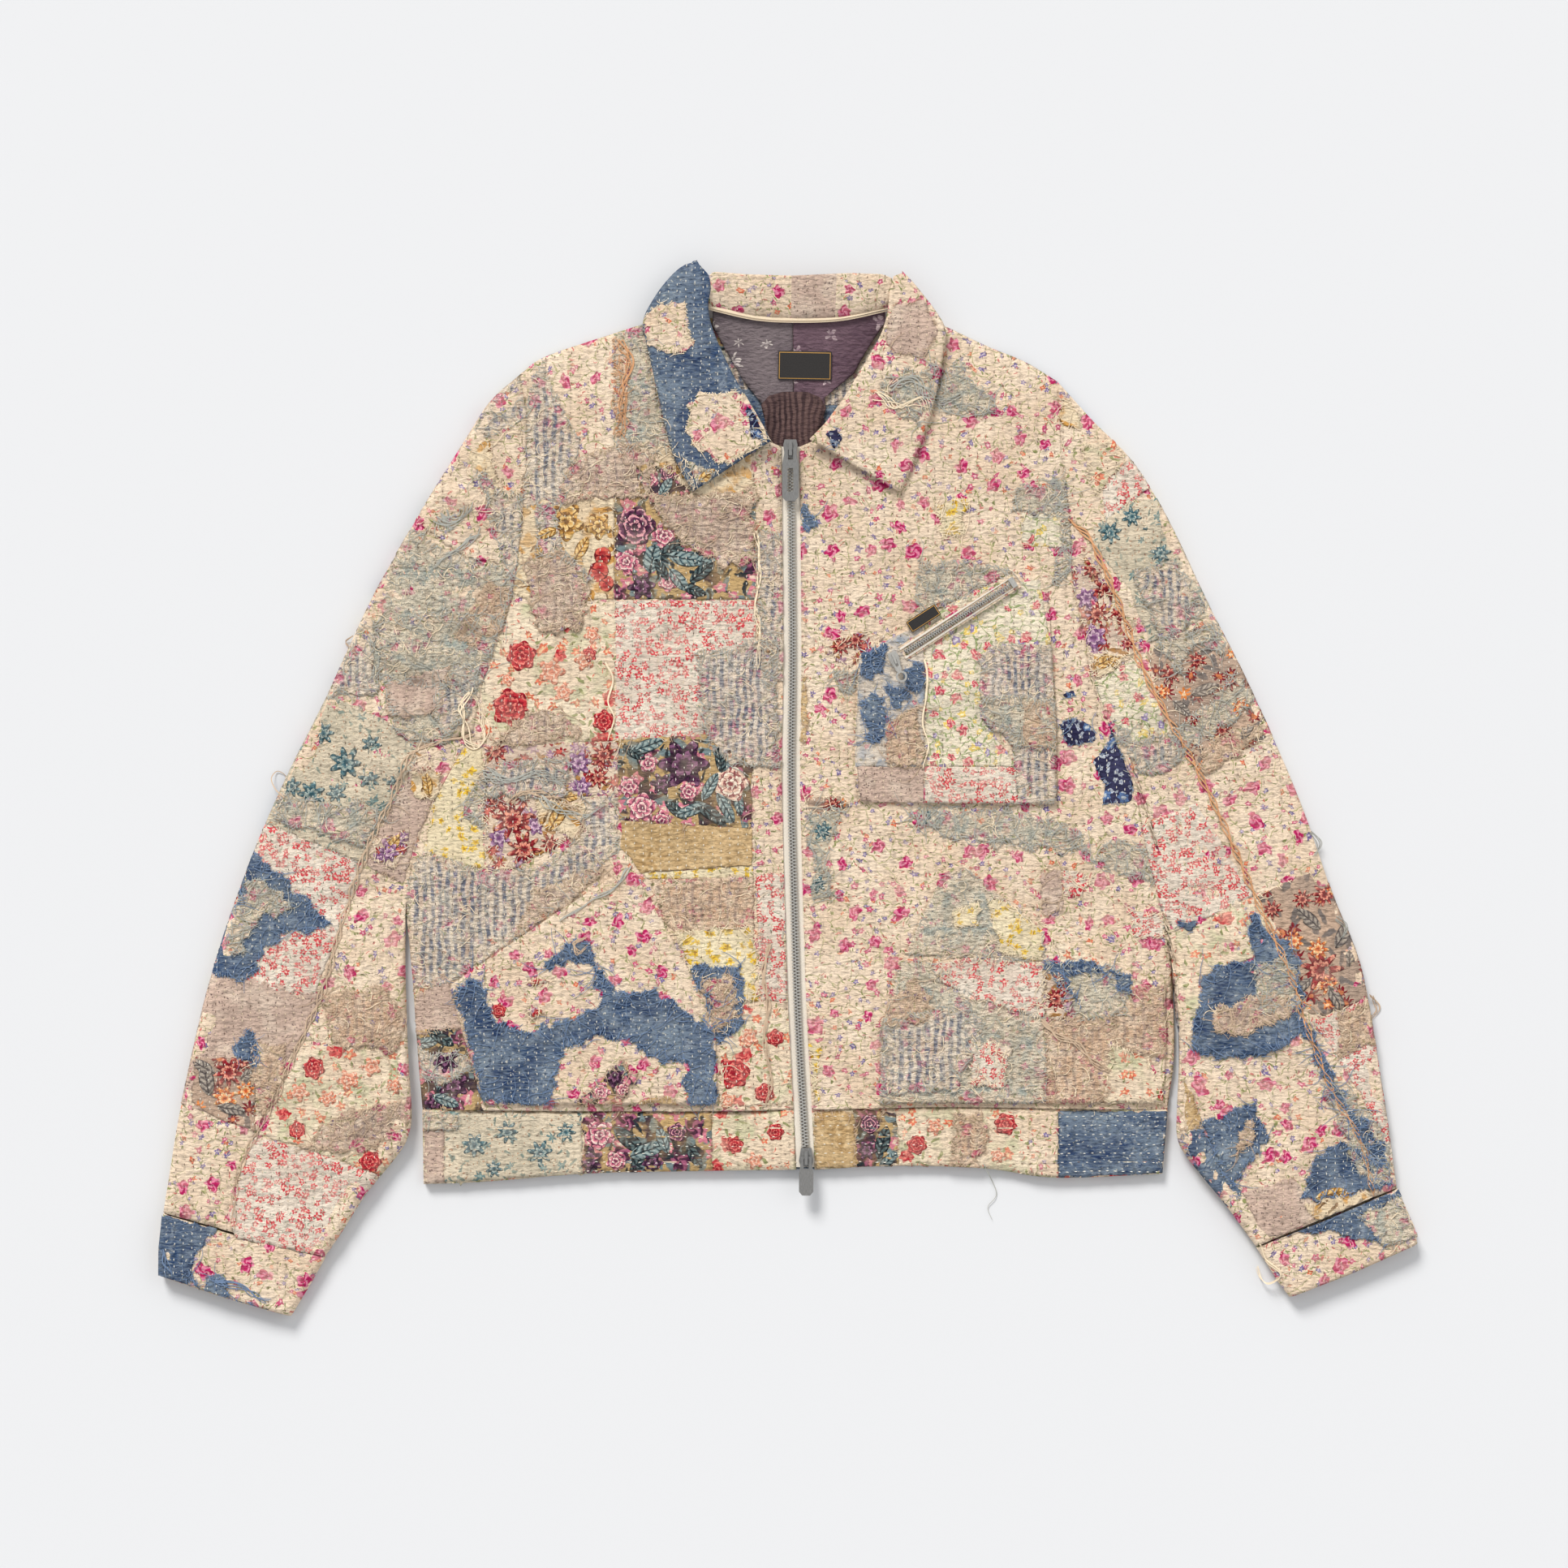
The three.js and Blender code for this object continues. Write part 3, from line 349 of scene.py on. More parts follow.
# the cloths: ground, worn tone, and prints from the lowest to the highest
# flower = (spacing, radius, petals, depth, share, petal, heart)
# leaf = (spacing, length, width, share, colour)
cloths = {
    "roseCalico": dict(ground=(246, 224, 198), worn=(234, 208, 180), prints=[
        ("twigs", 12, 0.03, 0.58, (178, 172, 122)), ("leaf", 5.6, 1.9, 0.6, 0.55, (146, 150, 96)),
        ("leaf", 7, 1.7, 0.6, 0.4, (206, 120, 110)),
        ("flower", 10, 2.2, 5, 0.5, 0.45, (120, 104, 158), (214, 200, 210)),
        ("flower", 15, 2.1, 4, 0.4, 0.32, (224, 112, 78), (240, 190, 150)),
        ("flower", 12, 2.6, 5, 0.4, 0.42, (206, 84, 122), (244, 190, 196)),
        ("rose", 23, 6.0, 5, 0.26, 0.7, (190, 32, 96), (238, 142, 170))]),
    "redBlossom": dict(ground=(240, 226, 208), worn=(226, 208, 190), prints=[
        ("leaf", 4.6, 1.3, 0.4, 0.5, (150, 165, 140)),
        ("flower", 6.0, 2.9, 5, 0.5, 0.85, (218, 66, 76), (244, 208, 190))]),
    "roseChintz": dict(ground=(248, 228, 200), worn=(236, 212, 184), prints=[
        ("blotch", 22, 0.58, 0.1, (206, 202, 164)), ("leaf", 8, 3.2, 1.2, 0.5, (156, 158, 108)),
        ("leaf", 6, 1.7, 0.6, 0.45, (222, 128, 108)),
        ("flower", 13, 3.8, 5, 0.45, 0.5, (232, 124, 92), (248, 206, 160)),
        ("rose", 34, 7, 6, 0.24, 0.4, (192, 44, 56), (236, 120, 110))]),
    "bouquet": dict(ground=(206, 172, 118), worn=(190, 160, 116), prints=[
        ("blotch", 24, 0.54, 0.03, (70, 54, 66)), ("leaf", 13, 8, 3, 0.7, (122, 140, 142)),
        ("leaf", 11, 6, 1.5, 0.65, (42, 52, 58)),
        ("flower", 15, 5.6, 5, 0.4, 0.6, (222, 132, 150), (244, 214, 194)),
        ("rose", 26, 9, 6, 0.3, 0.55, (72, 32, 60), (176, 100, 130))]),
    "mustard": dict(ground=(214, 182, 136), worn=(186, 154, 108), prints=[
        ("blotch", 30, 0.58, 0.1, (184, 148, 98)), ("blotch", 5, 0.56, 0.12, (226, 196, 150))]),
    "indigo": dict(ground=(50, 74, 110), worn=(128, 142, 156), slub=True, prints=[
        ("blotch", 9, 0.6, 0.1, (142, 152, 164)), ("blotch", 34, 0.58, 0.1, (34, 54, 92)),
        ("speck", 3.1, 0.6, 0.3, (196, 194, 184)), ("blotch", 4, 0.62, 0.08, (44, 64, 98))]),
    "fadedBlue": dict(ground=(226, 212, 194), worn=(210, 196, 180), prints=[
        ("blotch", 12, 0.58, 0.1, (160, 168, 178)), ("leaf", 7, 1.5, 0.5, 0.5, (168, 160, 130)),
        ("flower", 16, 2.4, 5, 0.3, 0.5, (196, 110, 130), (236, 190, 180))]),
    "stripeGauze": dict(ground=(236, 222, 202), worn=(218, 200, 178), gauzy=True, prints=[
        ("blotch", 17, 0.58, 0.1, (206, 178, 158)), ("flower", 17, 3, 5, 0.3, 0.35, (190, 120, 140),
            (214, 170, 170)),
        ("stripe", 6.2, 0.54, (66, 88, 120))]),
    "stripeFray": dict(ground=(236, 222, 204), worn=(216, 198, 178), gauzy=True, prints=[
        ("blotch", 11, 0.54, 0.1, (206, 178, 162)), ("flower", 14, 3, 5, 0.3, 0.4, (186, 110, 140),
            (214, 170, 170)),
        ("stripe", 5.6, 0.54, (74, 94, 122))]),
    "greige": dict(ground=(212, 184, 162), worn=(178, 152, 136), gauzy=True, prints=[
        ("blotch", 9, 0.56, 0.1, (226, 206, 184)), ("flower", 14, 3, 5, 0.3, 0.35, (176, 130, 130),
            (200, 160, 150)),
        ("stripe", 6.6, 0.34, (176, 156, 146))]),
    "taupe": dict(ground=(220, 184, 152), worn=(200, 166, 138), gauzy=True, prints=[
        ("blotch", 9, 0.56, 0.1, (222, 198, 174)), ("speck", 3.4, 0.6, 0.35, (140, 120, 114)),
        ("stripe", 6.6, 0.3, (166, 144, 132))]),
    "greenGauze": dict(ground=(212, 202, 180), worn=(190, 178, 156), gauzy=True, prints=[
        ("blotch", 9, 0.55, 0.1, (230, 216, 192)), ("blotch", 18, 0.58, 0.08, (160, 170, 164)),
        ("flower", 13, 3, 5, 0.3, 0.35, (180, 110, 130), (214, 170, 160)),
        ("speck", 3.2, 0.6, 0.35, (126, 138, 142))]),
    "yellowSprig": dict(ground=(244, 228, 192), worn=(228, 210, 174), prints=[
        ("leaf", 6, 1.8, 0.5, 0.45, (160, 158, 108)),
        ("flower", 8.0, 3.3, 5, 0.45, 0.72, (240, 200, 70), (196, 146, 54))]),
    "tealBlotch": dict(ground=(228, 212, 186), worn=(204, 192, 168), prints=[
        ("speck", 4.4, 0.6, 0.6, (184, 140, 110)), ("leaf", 7, 2.6, 1.0, 0.45, (140, 152, 140)),
        ("flower", 16, 4.6, 6, 0.6, 0.4, (110, 140, 140), (150, 168, 160))]),
    "goldLeaf": dict(ground=(246, 226, 192), worn=(228, 204, 170), prints=[
        ("blotch", 18, 0.6, 0.05, (218, 178, 126)), ("leaf", 15, 7, 2.8, 0.6, (216, 160, 84)),
        ("leaf", 14, 6, 1.1, 0.5, (122, 84, 44))]),
    "crimsonLilac": dict(ground=(238, 214, 188), worn=(212, 188, 168), prints=[
        ("leaf", 11, 6, 2.0, 0.55, (176, 128, 76)),
        ("flower", 13, 5.6, 7, 0.55, 0.6, (160, 118, 150), (210, 172, 186)),
        ("flower", 15, 6.4, 8, 0.6, 0.66, (156, 30, 42), (214, 104, 92))]),
    "folk": dict(ground=(204, 174, 150), worn=(180, 156, 138), prints=[
        ("leaf", 14, 7.4, 2.6, 0.75, (128, 118, 112)),
        ("flower", 17, 6.4, 8, 0.55, 0.6, (132, 30, 42), (220, 130, 84)),
        ("flower", 21, 4.6, 6, 0.6, 0.45, (242, 142, 70), (250, 214, 170))]),
    "navyDot": dict(ground=(38, 36, 68), worn=(64, 64, 96), prints=[
        ("flower", 5.4, 1.9, 5, 0.3, 0.8, (200, 206, 214), (120, 130, 160)),
        ("flower", 15, 4, 5, 0.3, 0.5, (96, 124, 170), (206, 214, 220))]),
    "springPosy": dict(ground=(246, 232, 206), worn=(228, 216, 192), prints=[
        ("twigs", 9, 0.05, 0.5, (160, 172, 116)), ("leaf", 6, 2.2, 0.8, 0.6, (156, 170, 116)),
        ("flower", 9, 2.8, 5, 0.3, 0.5, (240, 208, 110), (250, 236, 190)),
        ("flower", 12, 2.6, 5, 0.3, 0.4, (150, 130, 180), (220, 210, 220)),
        ("rose", 14, 4.2, 5, 0.25, 0.6, (214, 74, 96), (244, 178, 168))]),
    "dustyPink": dict(ground=(216, 188, 170), worn=(196, 170, 154), prints=[
        ("blotch", 24, 0.6, 0.1, (228, 206, 186)), ("speck", 3.0, 0.5, 0.4, (116, 96, 92))]),
    "orangeFray": dict(ground=(228, 184, 148), worn=(206, 166, 136), gauzy=True, prints=[
        ("blotch", 9, 0.55, 0.1, (234, 210, 182))]),
    "greyStar": dict(ground=(102, 90, 96), worn=(128, 116, 118), slub=True, lining=True, prints=[
        ("flower", 26, 5.6, 6, 0.85, 0.95, (228, 216, 208), (196, 184, 180))]),
    "purpleDash": dict(ground=(94, 72, 84), worn=(118, 94, 104), slub=True, lining=True, prints=[
        ("flower", 22, 6.2, 4, 0.8, 0.9, (212, 190, 192), (160, 136, 146))]),
    "brownRib": dict(ground=(58, 42, 44), worn=(84, 64, 64), lining=True,
        prints=[("stripe", 4.6, 0.55, (112, 88, 84))]),
}
# threads, tapes and labels: ground and worn tone
plainCloths = {
    "pipingCream": ((236, 218, 190), (214, 192, 162)),
    "tapeWhite": ((228, 220, 206), (208, 198, 184)),
    "labelBlack": ((20, 18, 18), (36, 32, 30)),
    "labelGold": ((186, 140, 62), (150, 112, 52)),
    # painted shade: a dark tone laid under the zip teeth, where only shade falls
    "zipShadeCore": ((104, 98, 92), (78, 72, 68)),
    "threadCream": ((240, 224, 196), (214, 192, 160)),
    "threadWhite": ((246, 242, 230), (222, 216, 200)),
    "threadBrown": ((124, 98, 80), (96, 76, 64)),
    "threadBlue": ((74, 98, 136), (120, 140, 164)),
    "threadGrey": ((176, 174, 164), (146, 148, 142)),
    "threadTaupe": ((200, 174, 146), (168, 144, 122)),
    "cordOrange": ((214, 160, 112), (170, 120, 84)),
}
cloths.update({name: dict(ground=ground, worn=worn, plain=True) for name,
    (ground, worn) in plainCloths.items()})
darkCloths = ("indigo", "bouquet", "mustard", "navyDot", "crimsonLilac", "folk")
liningCloths = ("greyStar", "purpleDash", "brownRib")


class Dyer:
    # a small helper that wires one cloth's nodes
    def __init__(self, name):
        self.material = bpy.data.materials.new(name)
        self.material.use_nodes = True
        self.tree = self.material.node_tree
        self.shader = self.tree.nodes["Principled BSDF"]
        place = self.put("ShaderNodeTexCoord")
        scale = self.put("ShaderNodeVectorMath", dict(operation="SCALE"), Vector=place.outputs["Object"],
                         Scale=1000.0)
        self.table = scale.outputs[0]

    def put(self, kind, settings=None, **sockets):
        node = self.tree.nodes.new(kind)
        for key, value in (settings or {}).items():
            setattr(node, key, value)
        for key, value in sockets.items():
            self.feed(node.inputs[key], value)
        return node

    def feed(self, socket, value):
        if isinstance(value, bpy.types.NodeSocket):
            self.tree.links.new(value, socket)
        else:
            socket.default_value = value

    def calc(self, operation, *values, clamp=False):
        node = self.tree.nodes.new("ShaderNodeMath")
        node.operation, node.use_clamp = operation, clamp
        for socket, value in zip(node.inputs, values):
            self.feed(socket, value)
        return node.outputs[0]

    def times(self, a, b):
        return self.calc("MULTIPLY", a, b)

    def line(self, value, slope, start):
        return self.calc("MULTIPLY_ADD", value, slope, start)

    def stretch(self, a, b):
        return self.vector("MULTIPLY", a, b)

    def vector(self, operation, a, b=(0, 0, 0)):
        node = self.tree.nodes.new("ShaderNodeVectorMath")
        node.operation = operation
        self.feed(node.inputs[0], a)
        if operation != "LENGTH":
            self.feed(node.inputs[1], b)
        return node.outputs["Value" if operation == "LENGTH" else "Vector"]

    def blend(self, factor, a, b):
        node = self.tree.nodes.new("ShaderNodeMix")
        node.data_type = "RGBA"
        self.feed(node.inputs[0], factor)
        self.feed(node.inputs[6], a)
        self.feed(node.inputs[7], b)
        return node.outputs[2]

    def cloud(self, size, detail, at=None):
        return self.clouds(size, detail, at).outputs[0]

    def drift(self, size, detail, reach):
        # a small wandering step to the side
        step = self.vector("SUBTRACT", self.clouds(size, detail).outputs["Color"], (0.5, 0.5, 0.5))
        return self.stretch(step, (reach, reach, 0))

    def split(self, vector):
        return self.put("ShaderNodeSeparateXYZ", Vector=vector).outputs

    def finish(self, colour, height, strength, depth, roughness):
        bump = self.put("ShaderNodeBump", Height=height, Strength=strength, Distance=depth)
        self.feed(self.shader.inputs["Base Color"], colour)
        self.feed(self.shader.inputs["Normal"], bump.outputs[0])
        self.shader.inputs["Roughness"].default_value = roughness
        return self.material

    def clouds(self, size, detail=2.0, at=None):
        return self.put("ShaderNodeTexNoise", dict(noise_dimensions="2D"), Vector=at or self.table,
                        Scale=1 / size, Detail=detail)

    def cells(self, size, at, feature="F1"):
        return self.put("ShaderNodeTexVoronoi", dict(voronoi_dimensions="2D", feature=feature), Vector=at,
                        Scale=1 / size, Randomness=0.85)

    def over(self, value, edge, soft):
        # 0 below edge - soft, 1 above edge + soft
        return self.calc("MULTIPLY_ADD", value, 0.5 / soft, 0.5 - 0.5 * edge / soft, clamp=True)

    def under(self, value, edge, soft):
        return self.calc("MULTIPLY_ADD", value, -0.5 / soft, 0.5 + 0.5 * edge / soft, clamp=True)


def sprinkled(d, at, spacing, number):
    # one motif in each cell: place inside the cell, and three chance numbers
    shifted = d.vector("ADD", at, (spacing * 7.3 * number, spacing * 3.1 * number, 0))
    cells = d.cells(spacing, shifted)
    local = d.vector("SUBTRACT", shifted, cells.outputs["Position"])
    chance = d.put("ShaderNodeSeparateColor", Color=cells.outputs["Color"])
    return local, chance.outputs


def printFlower(d, colour, at, number, spacing, radius, petals, depth, share, petal, heart, rose=False):
    local, chance = sprinkled(d, at, spacing, number)
    x, y, _ = d.split(local)
    flat = d.put("ShaderNodeCombineXYZ", X=x, Y=y)
    r = d.vector("LENGTH", flat.outputs[0])
    angle = d.calc("ARCTAN2", y, x)
    turned = d.line(chance[0], 6.28, d.times(angle, float(petals)))
    lobes = d.line(d.calc("COSINE", turned), depth * 0.5 * radius, radius * (1 - depth * 0.5))
    limit = d.times(lobes, d.line(chance[1], 0.45, 0.7))
    shape = d.over(d.calc("SUBTRACT", limit, r), 0.0, 0.28)
    mask = d.times(shape, d.calc("LESS_THAN", chance[2], share))
    if rose:
        swirl = d.calc("SINE", d.line(r, 7.5 / radius, d.times(angle, 3.0)))
        tone = d.over(swirl, 0.25, 0.5)
        tint = d.blend(tone, dye(*petal), dye(*heart))
    else:
        tint = d.blend(d.under(r, radius * 0.3, 0.3), dye(*petal), dye(*heart))
    return d.blend(mask, colour, tint)


def printLeaf(d, colour, at, number, spacing, length, width, share, tint):
    local, chance = sprinkled(d, at, spacing, number)
    turn = d.put("ShaderNodeVectorRotate", dict(rotation_type="Z_AXIS"), Vector=local,
                 Angle=d.times(chance[0], 6.28))
    thin = d.stretch(turn.outputs[0], (1 / length, 1 / width, 0))
    shape = d.under(d.vector("LENGTH", thin), 0.9, 0.12)
    return d.blend(d.times(shape, d.calc("LESS_THAN", chance[2], share)), colour, dye(*tint))


def printTwigs(d, colour, at, number, spacing, width, share, tint):
    edges = d.cells(spacing, d.vector("ADD", at, (31 * number, 17 * number, 0)), "DISTANCE_TO_EDGE")
    lines = d.under(edges.outputs["Distance"], width, 0.02)
    kept = d.over(d.cloud(spacing * 0.9, 1, at), share - 0.12, 0.05)
    return d.blend(d.times(lines, kept), colour, dye(*tint))


def printStripe(d, colour, at, number, pitch, width, tint):
    sway = d.times(d.calc("SUBTRACT", d.cloud(24, 2), 0.5), 7.0)
    across = d.calc("ADD", d.split(d.table)[0], sway)
    wave = d.calc("PINGPONG", d.times(across, 1 / pitch), 0.5)
    broken = d.over(d.cloud(4, 3, d.stretch(d.table, (1, 0.3, 1))), 0.3, 0.12)
    stripe = d.times(d.under(wave, width * 0.5, 0.08), broken)
    return d.blend(d.times(stripe, 0.9), colour, dye(*tint))


def printBlotch(d, colour, at, number, size, edge, soft, tint):
    cloud = d.cloud(size, 3, d.vector("ADD", at, (57 * number, 23 * number, 0)))
    return d.blend(d.over(cloud, edge, soft), colour, dye(*tint))


def printSpeck(d, colour, at, number, spacing, radius, share, tint):
    local, chance = sprinkled(d, at, spacing, number)
    dot = d.under(d.vector("LENGTH", d.stretch(local, (1, 1, 0))), radius, 0.2)
    return d.blend(d.times(dot, d.calc("LESS_THAN", chance[2], share)), colour, dye(*tint))


def makeCloth(name):
    recipe = cloths[name]
    d = Dyer(name)
    if recipe.get("plain"):
        fuzz = d.cloud(1.1, 3)
        colour = d.blend(fuzz, dye(*recipe["ground"]), dye(*recipe["worn"]))
        return d.finish(colour, fuzz, 0.5, 0.0003, 0.8)
    at = d.vector("ADD", d.vector("ADD", d.table, d.drift(16, 2, 9)), d.drift(2.6, 1, 1.6))
    colour, ground = printed(d, recipe, at)
    if recipe.get("gauzy"):
        # thin, worn weave: the calico below shows, most of all at the torn rim
        below, _ = printed(d, cloths["roseCalico"], at)
        rim = d.put("ShaderNodeAttribute", dict(attribute_name="wear")).outputs["Fac"]
        thin = d.line(rim, 0.34, d.cloud(7, 4))
        threads = d.cloud(0.9, 2, d.stretch(d.table, (1.6, 0.5, 1)))
        bare = d.over(d.line(threads, 0.35, thin), 0.77, 0.1)
        colour = d.blend(d.times(bare, 0.85), colour, below)
    return weaveCloth(d, colour, ground, recipe)


def printed(d, recipe, at):
    colour = d.blend(d.over(d.cloud(38, 3), 0.5, 0.16), dye(*recipe["ground"]), dye(*recipe["worn"]))
    ground = colour
    for number, (kind, *values) in enumerate(recipe["prints"]):
        if kind == "flower":
            colour = printFlower(d, colour, at, number, *values)
        elif kind == "rose":
            colour = printFlower(d, colour, at, number, *values, rose=True)
        else:
            draw = dict(leaf=printLeaf, twigs=printTwigs, stripe=printStripe, blotch=printBlotch,
                        speck=printSpeck)[kind]
            colour = draw(d, colour, at, number, *values)
    return colour, ground


def weaveCloth(d, colour, ground, recipe):
    # washing has taken the print back in places
    fade = d.times(d.over(d.cloud(21, 4), 0.58, 0.16), recipe.get("fade", 0.5))
    colour = d.blend(fade, colour, ground)
    if recipe.get("slub"):
        slub = d.cloud(2.0, 3, d.stretch(d.table, (0.3, 1.5, 1)))
        colour = d.blend(d.times(d.over(slub, 0.53, 0.12), 0.6), colour, dye(*recipe["worn"]))
    # hand-stitched rows pull the cloth into fine ridges
    x, y, _ = d.split(d.table)
    bent = d.calc("ADD", x, d.times(d.calc("SINE", d.times(y, 1 / 37)), 1.3))
    ridges = d.calc("POWER", d.times(d.calc("PINGPONG", d.times(bent, 1 / 6.6), 0.5), 2.0), 0.6)
    ripple = d.cloud(3.4, 3, d.stretch(d.table, (0.6, 1.3, 1)))
    grain = d.cloud(0.625, 2.0)
    weave = d.times(d.calc("SINE", d.times(x, 7.4)), d.calc("SINE", d.times(y, 7.4)))
    loose = recipe.get("gauzy")
    hills = d.line(ripple, 2.6 if loose else 1.7, d.times(ridges, 0.0 if recipe.get("lining") else 0.6))
    height = d.line(weave, 0.06, d.line(grain, 0.5, hills))
    if loose:
        # painted highlight: the raised ripple crests of the loose weave, the same ripples the bump raises,
        # are lightened
        paintedCrestHighlight = d.over(ripple, 0.54, 0.08)
        colour = d.blend(d.times(paintedCrestHighlight, 0.4), colour, dye(*(min(255, c + 16) for c in recipe["ground"])))
        # painted shade: small dark streaks, a darker copy of the worn tone, where the thin weave opens
        paintedGapShade = d.cloud(0.8, 1, d.stretch(d.table, (1.5, 0.6, 1)))
        colour = d.blend(d.times(d.under(paintedGapShade, 0.42, 0.06), 0.4), colour,
            dye(*(c * 0.66 for c in recipe["worn"])))
    # painted shade: the low valleys of the ripples and stitched ridges are darkened with a darker copy of
    # the worn tone
    paintedValleyShade = d.under(d.line(ridges, 0.1, ripple), 0.45, 0.09)
    colour = d.blend(d.times(paintedValleyShade, 0.2 if recipe.get("lining") else 0.36), colour,
        dye(*(c * 0.55 for c in recipe["worn"])))
    d.shader.inputs["Specular IOR Level"].default_value = 0.2
    return d.finish(colour, height, 1.0, 0.0019, 0.92)


# large printed blooms and leaves, painted round their own middle
bloomKinds = {
    "plumRose": dict(petals=5, rings=3.4, depth=0.22, line=(58, 24, 50), mid=(104, 52, 86),
        light=(236, 168, 176)),
    "plumBloom": dict(petals=6, rings=1.9, depth=0.4, line=(44, 20, 42), mid=(74, 36, 66),
        light=(140, 92, 124)),
    "pinkRose": dict(petals=5, rings=2.8, depth=0.26, line=(124, 50, 84), mid=(228, 130, 150),
        light=(252, 216, 206)),
    "redRose": dict(petals=6, rings=3.2, depth=0.2, line=(150, 22, 40), mid=(202, 50, 60),
        light=(238, 128, 116)),
    "coralBloom": dict(petals=5, rings=2.4, depth=0.4, line=(222, 132, 104), mid=(244, 170, 140),
        light=(252, 214, 186)),
    "goldBloom": dict(petals=5, rings=2.2, depth=0.34, line=(128, 88, 46), mid=(220, 166, 88),
        light=(246, 210, 144)),
    "cherry": dict(petals=2, rings=0.9, depth=0.06, line=(120, 20, 30), mid=(184, 36, 46),
        light=(222, 96, 82)),
    "crimsonBurst": dict(petals=9, rings=2.0, depth=0.55, line=(116, 16, 30), mid=(160, 28, 42),
        light=(236, 156, 132)),
    "lilacBloom": dict(petals=6, rings=1.8, depth=0.4, line=(116, 72, 116), mid=(168, 122, 162),
        light=(222, 186, 204)),
    "tealBloom": dict(petals=7, rings=2.0, depth=0.5, line=(58, 92, 102), mid=(92, 128, 136),
        light=(170, 184, 176)),
    "orangeBloom": dict(petals=8, rings=1.8, depth=0.5, line=(200, 84, 40), mid=(252, 150, 76),
        light=(252, 216, 164)),
    "creamRose": dict(petals=5, rings=3.0, depth=0.2, line=(150, 84, 84), mid=(240, 200, 178),
        light=(252, 236, 214)),
}
leafKinds = {
    "slateLeaf": dict(line=(40, 54, 60), mid=(108, 132, 136), light=(160, 176, 172)),
    "darkLeaf": dict(line=(24, 32, 38), mid=(46, 58, 62), light=(96, 114, 114)),
    "ochreLeaf": dict(line=(124, 86, 44), mid=(218, 162, 84), light=(244, 206, 136)),
    "ashLeaf": dict(line=(88, 80, 78), mid=(132, 122, 116), light=(178, 166, 152)),
}
printGround = dict(ground=(226, 206, 184), worn=(206, 188, 168), fade=0.22)


def makeBloom(name, recipe, leaf=False):
    d = Dyer(name)
    chart = d.put("ShaderNodeUVMap", dict(uv_map="print")).outputs[0]
    local = d.vector("ADD", d.vector("SUBTRACT", d.stretch(chart, (2, 2, 0)), (1, 1, 0)),
                     d.drift(4, 2, 0.3))
    x, y, _ = d.split(local)
    line, mid, light = (dye(*recipe[tone]) for tone in ("line", "mid", "light"))
    if leaf:
        away = d.calc("ABSOLUTE", y)
        vein = d.calc("PINGPONG", d.line(away, -1.1, d.times(x, 2.6)), 0.5)
        colour = d.blend(d.over(vein, 0.26, 0.08), mid, light)
        colour = d.blend(d.under(vein, 0.07, 0.04), colour, line)
        colour = d.blend(d.under(away, 0.1, 0.05), colour, line)
        colour = d.blend(d.over(away, 0.82, 0.08), colour, line)
    else:
        r = d.vector("LENGTH", d.put("ShaderNodeCombineXYZ", X=x, Y=y).outputs[0])
        angle = d.calc("ARCTAN2", y, x)
        rings = d.times(r, float(recipe["rings"]))
        twist = d.line(angle, recipe["petals"] / 2, d.times(d.calc("FLOOR", rings), 2.1))
        scallop = d.calc("ABSOLUTE", d.calc("COSINE", twist))
        tone = d.calc("FRACT", d.line(scallop, -0.34, d.calc("ADD", rings, 0.4)))
        colour = d.blend(d.over(tone, 0.24, 0.07), line, mid)
        colour = d.blend(d.over(tone, 0.66, 0.1), colour, light)
        colour = d.blend(d.under(scallop, 0.16, 0.06), colour, line)
        colour = d.blend(d.under(r, 0.16, 0.05), colour, line)
    return weaveCloth(d, colour, dye(*(printGround["ground"])), printGround)


materials = {name: makeCloth(name) for name in cloths}
materials.update({name: makeBloom(name, recipe) for name, recipe in bloomKinds.items()})
materials.update({name: makeBloom(name, recipe, leaf=True) for name, recipe in leafKinds.items()})


def makeMetal(name, tone, roughness):
    d = Dyer(name)
    scratch = d.cloud(1.4, 4, d.stretch(d.table, (3, 0.5, 1)))
    colour = d.blend(scratch, dye(*tone), dye(*(c * 0.7 for c in tone)))
    d.shader.inputs["Metallic"].default_value = 0.55
    return d.finish(colour, scratch, 0.25, 0.0002, roughness)


materials["zipSteel"] = makeMetal("zipSteel", (204, 202, 196), 0.36)
materials["pullSteel"] = makeMetal("pullSteel", (150, 149, 147), 0.36)
print("cloths dyed:", len(materials))


def addPiece(name, bm, fabrics, body="jacket"):
    mesh = bpy.data.meshes.new(name)
    bmesh.ops.scale(bm, vec=(mm, mm, mm), verts=bm.verts)
    bm.to_mesh(mesh)
    bm.free()
    for fabric in fabrics:
        mesh.materials.append(materials[fabric])
    for face in mesh.polygons:
        face.use_smooth = True
    piece = bpy.data.objects.new(name, mesh)
    scene.collection.objects.link(piece)
    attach(piece, body)
    return piece


def wall(piece, thickness):
    shell = piece.modifiers.new("wall", "SOLIDIFY")
    shell.thickness, shell.offset = thickness * mm, -1
    shell.use_rim = True
    return piece


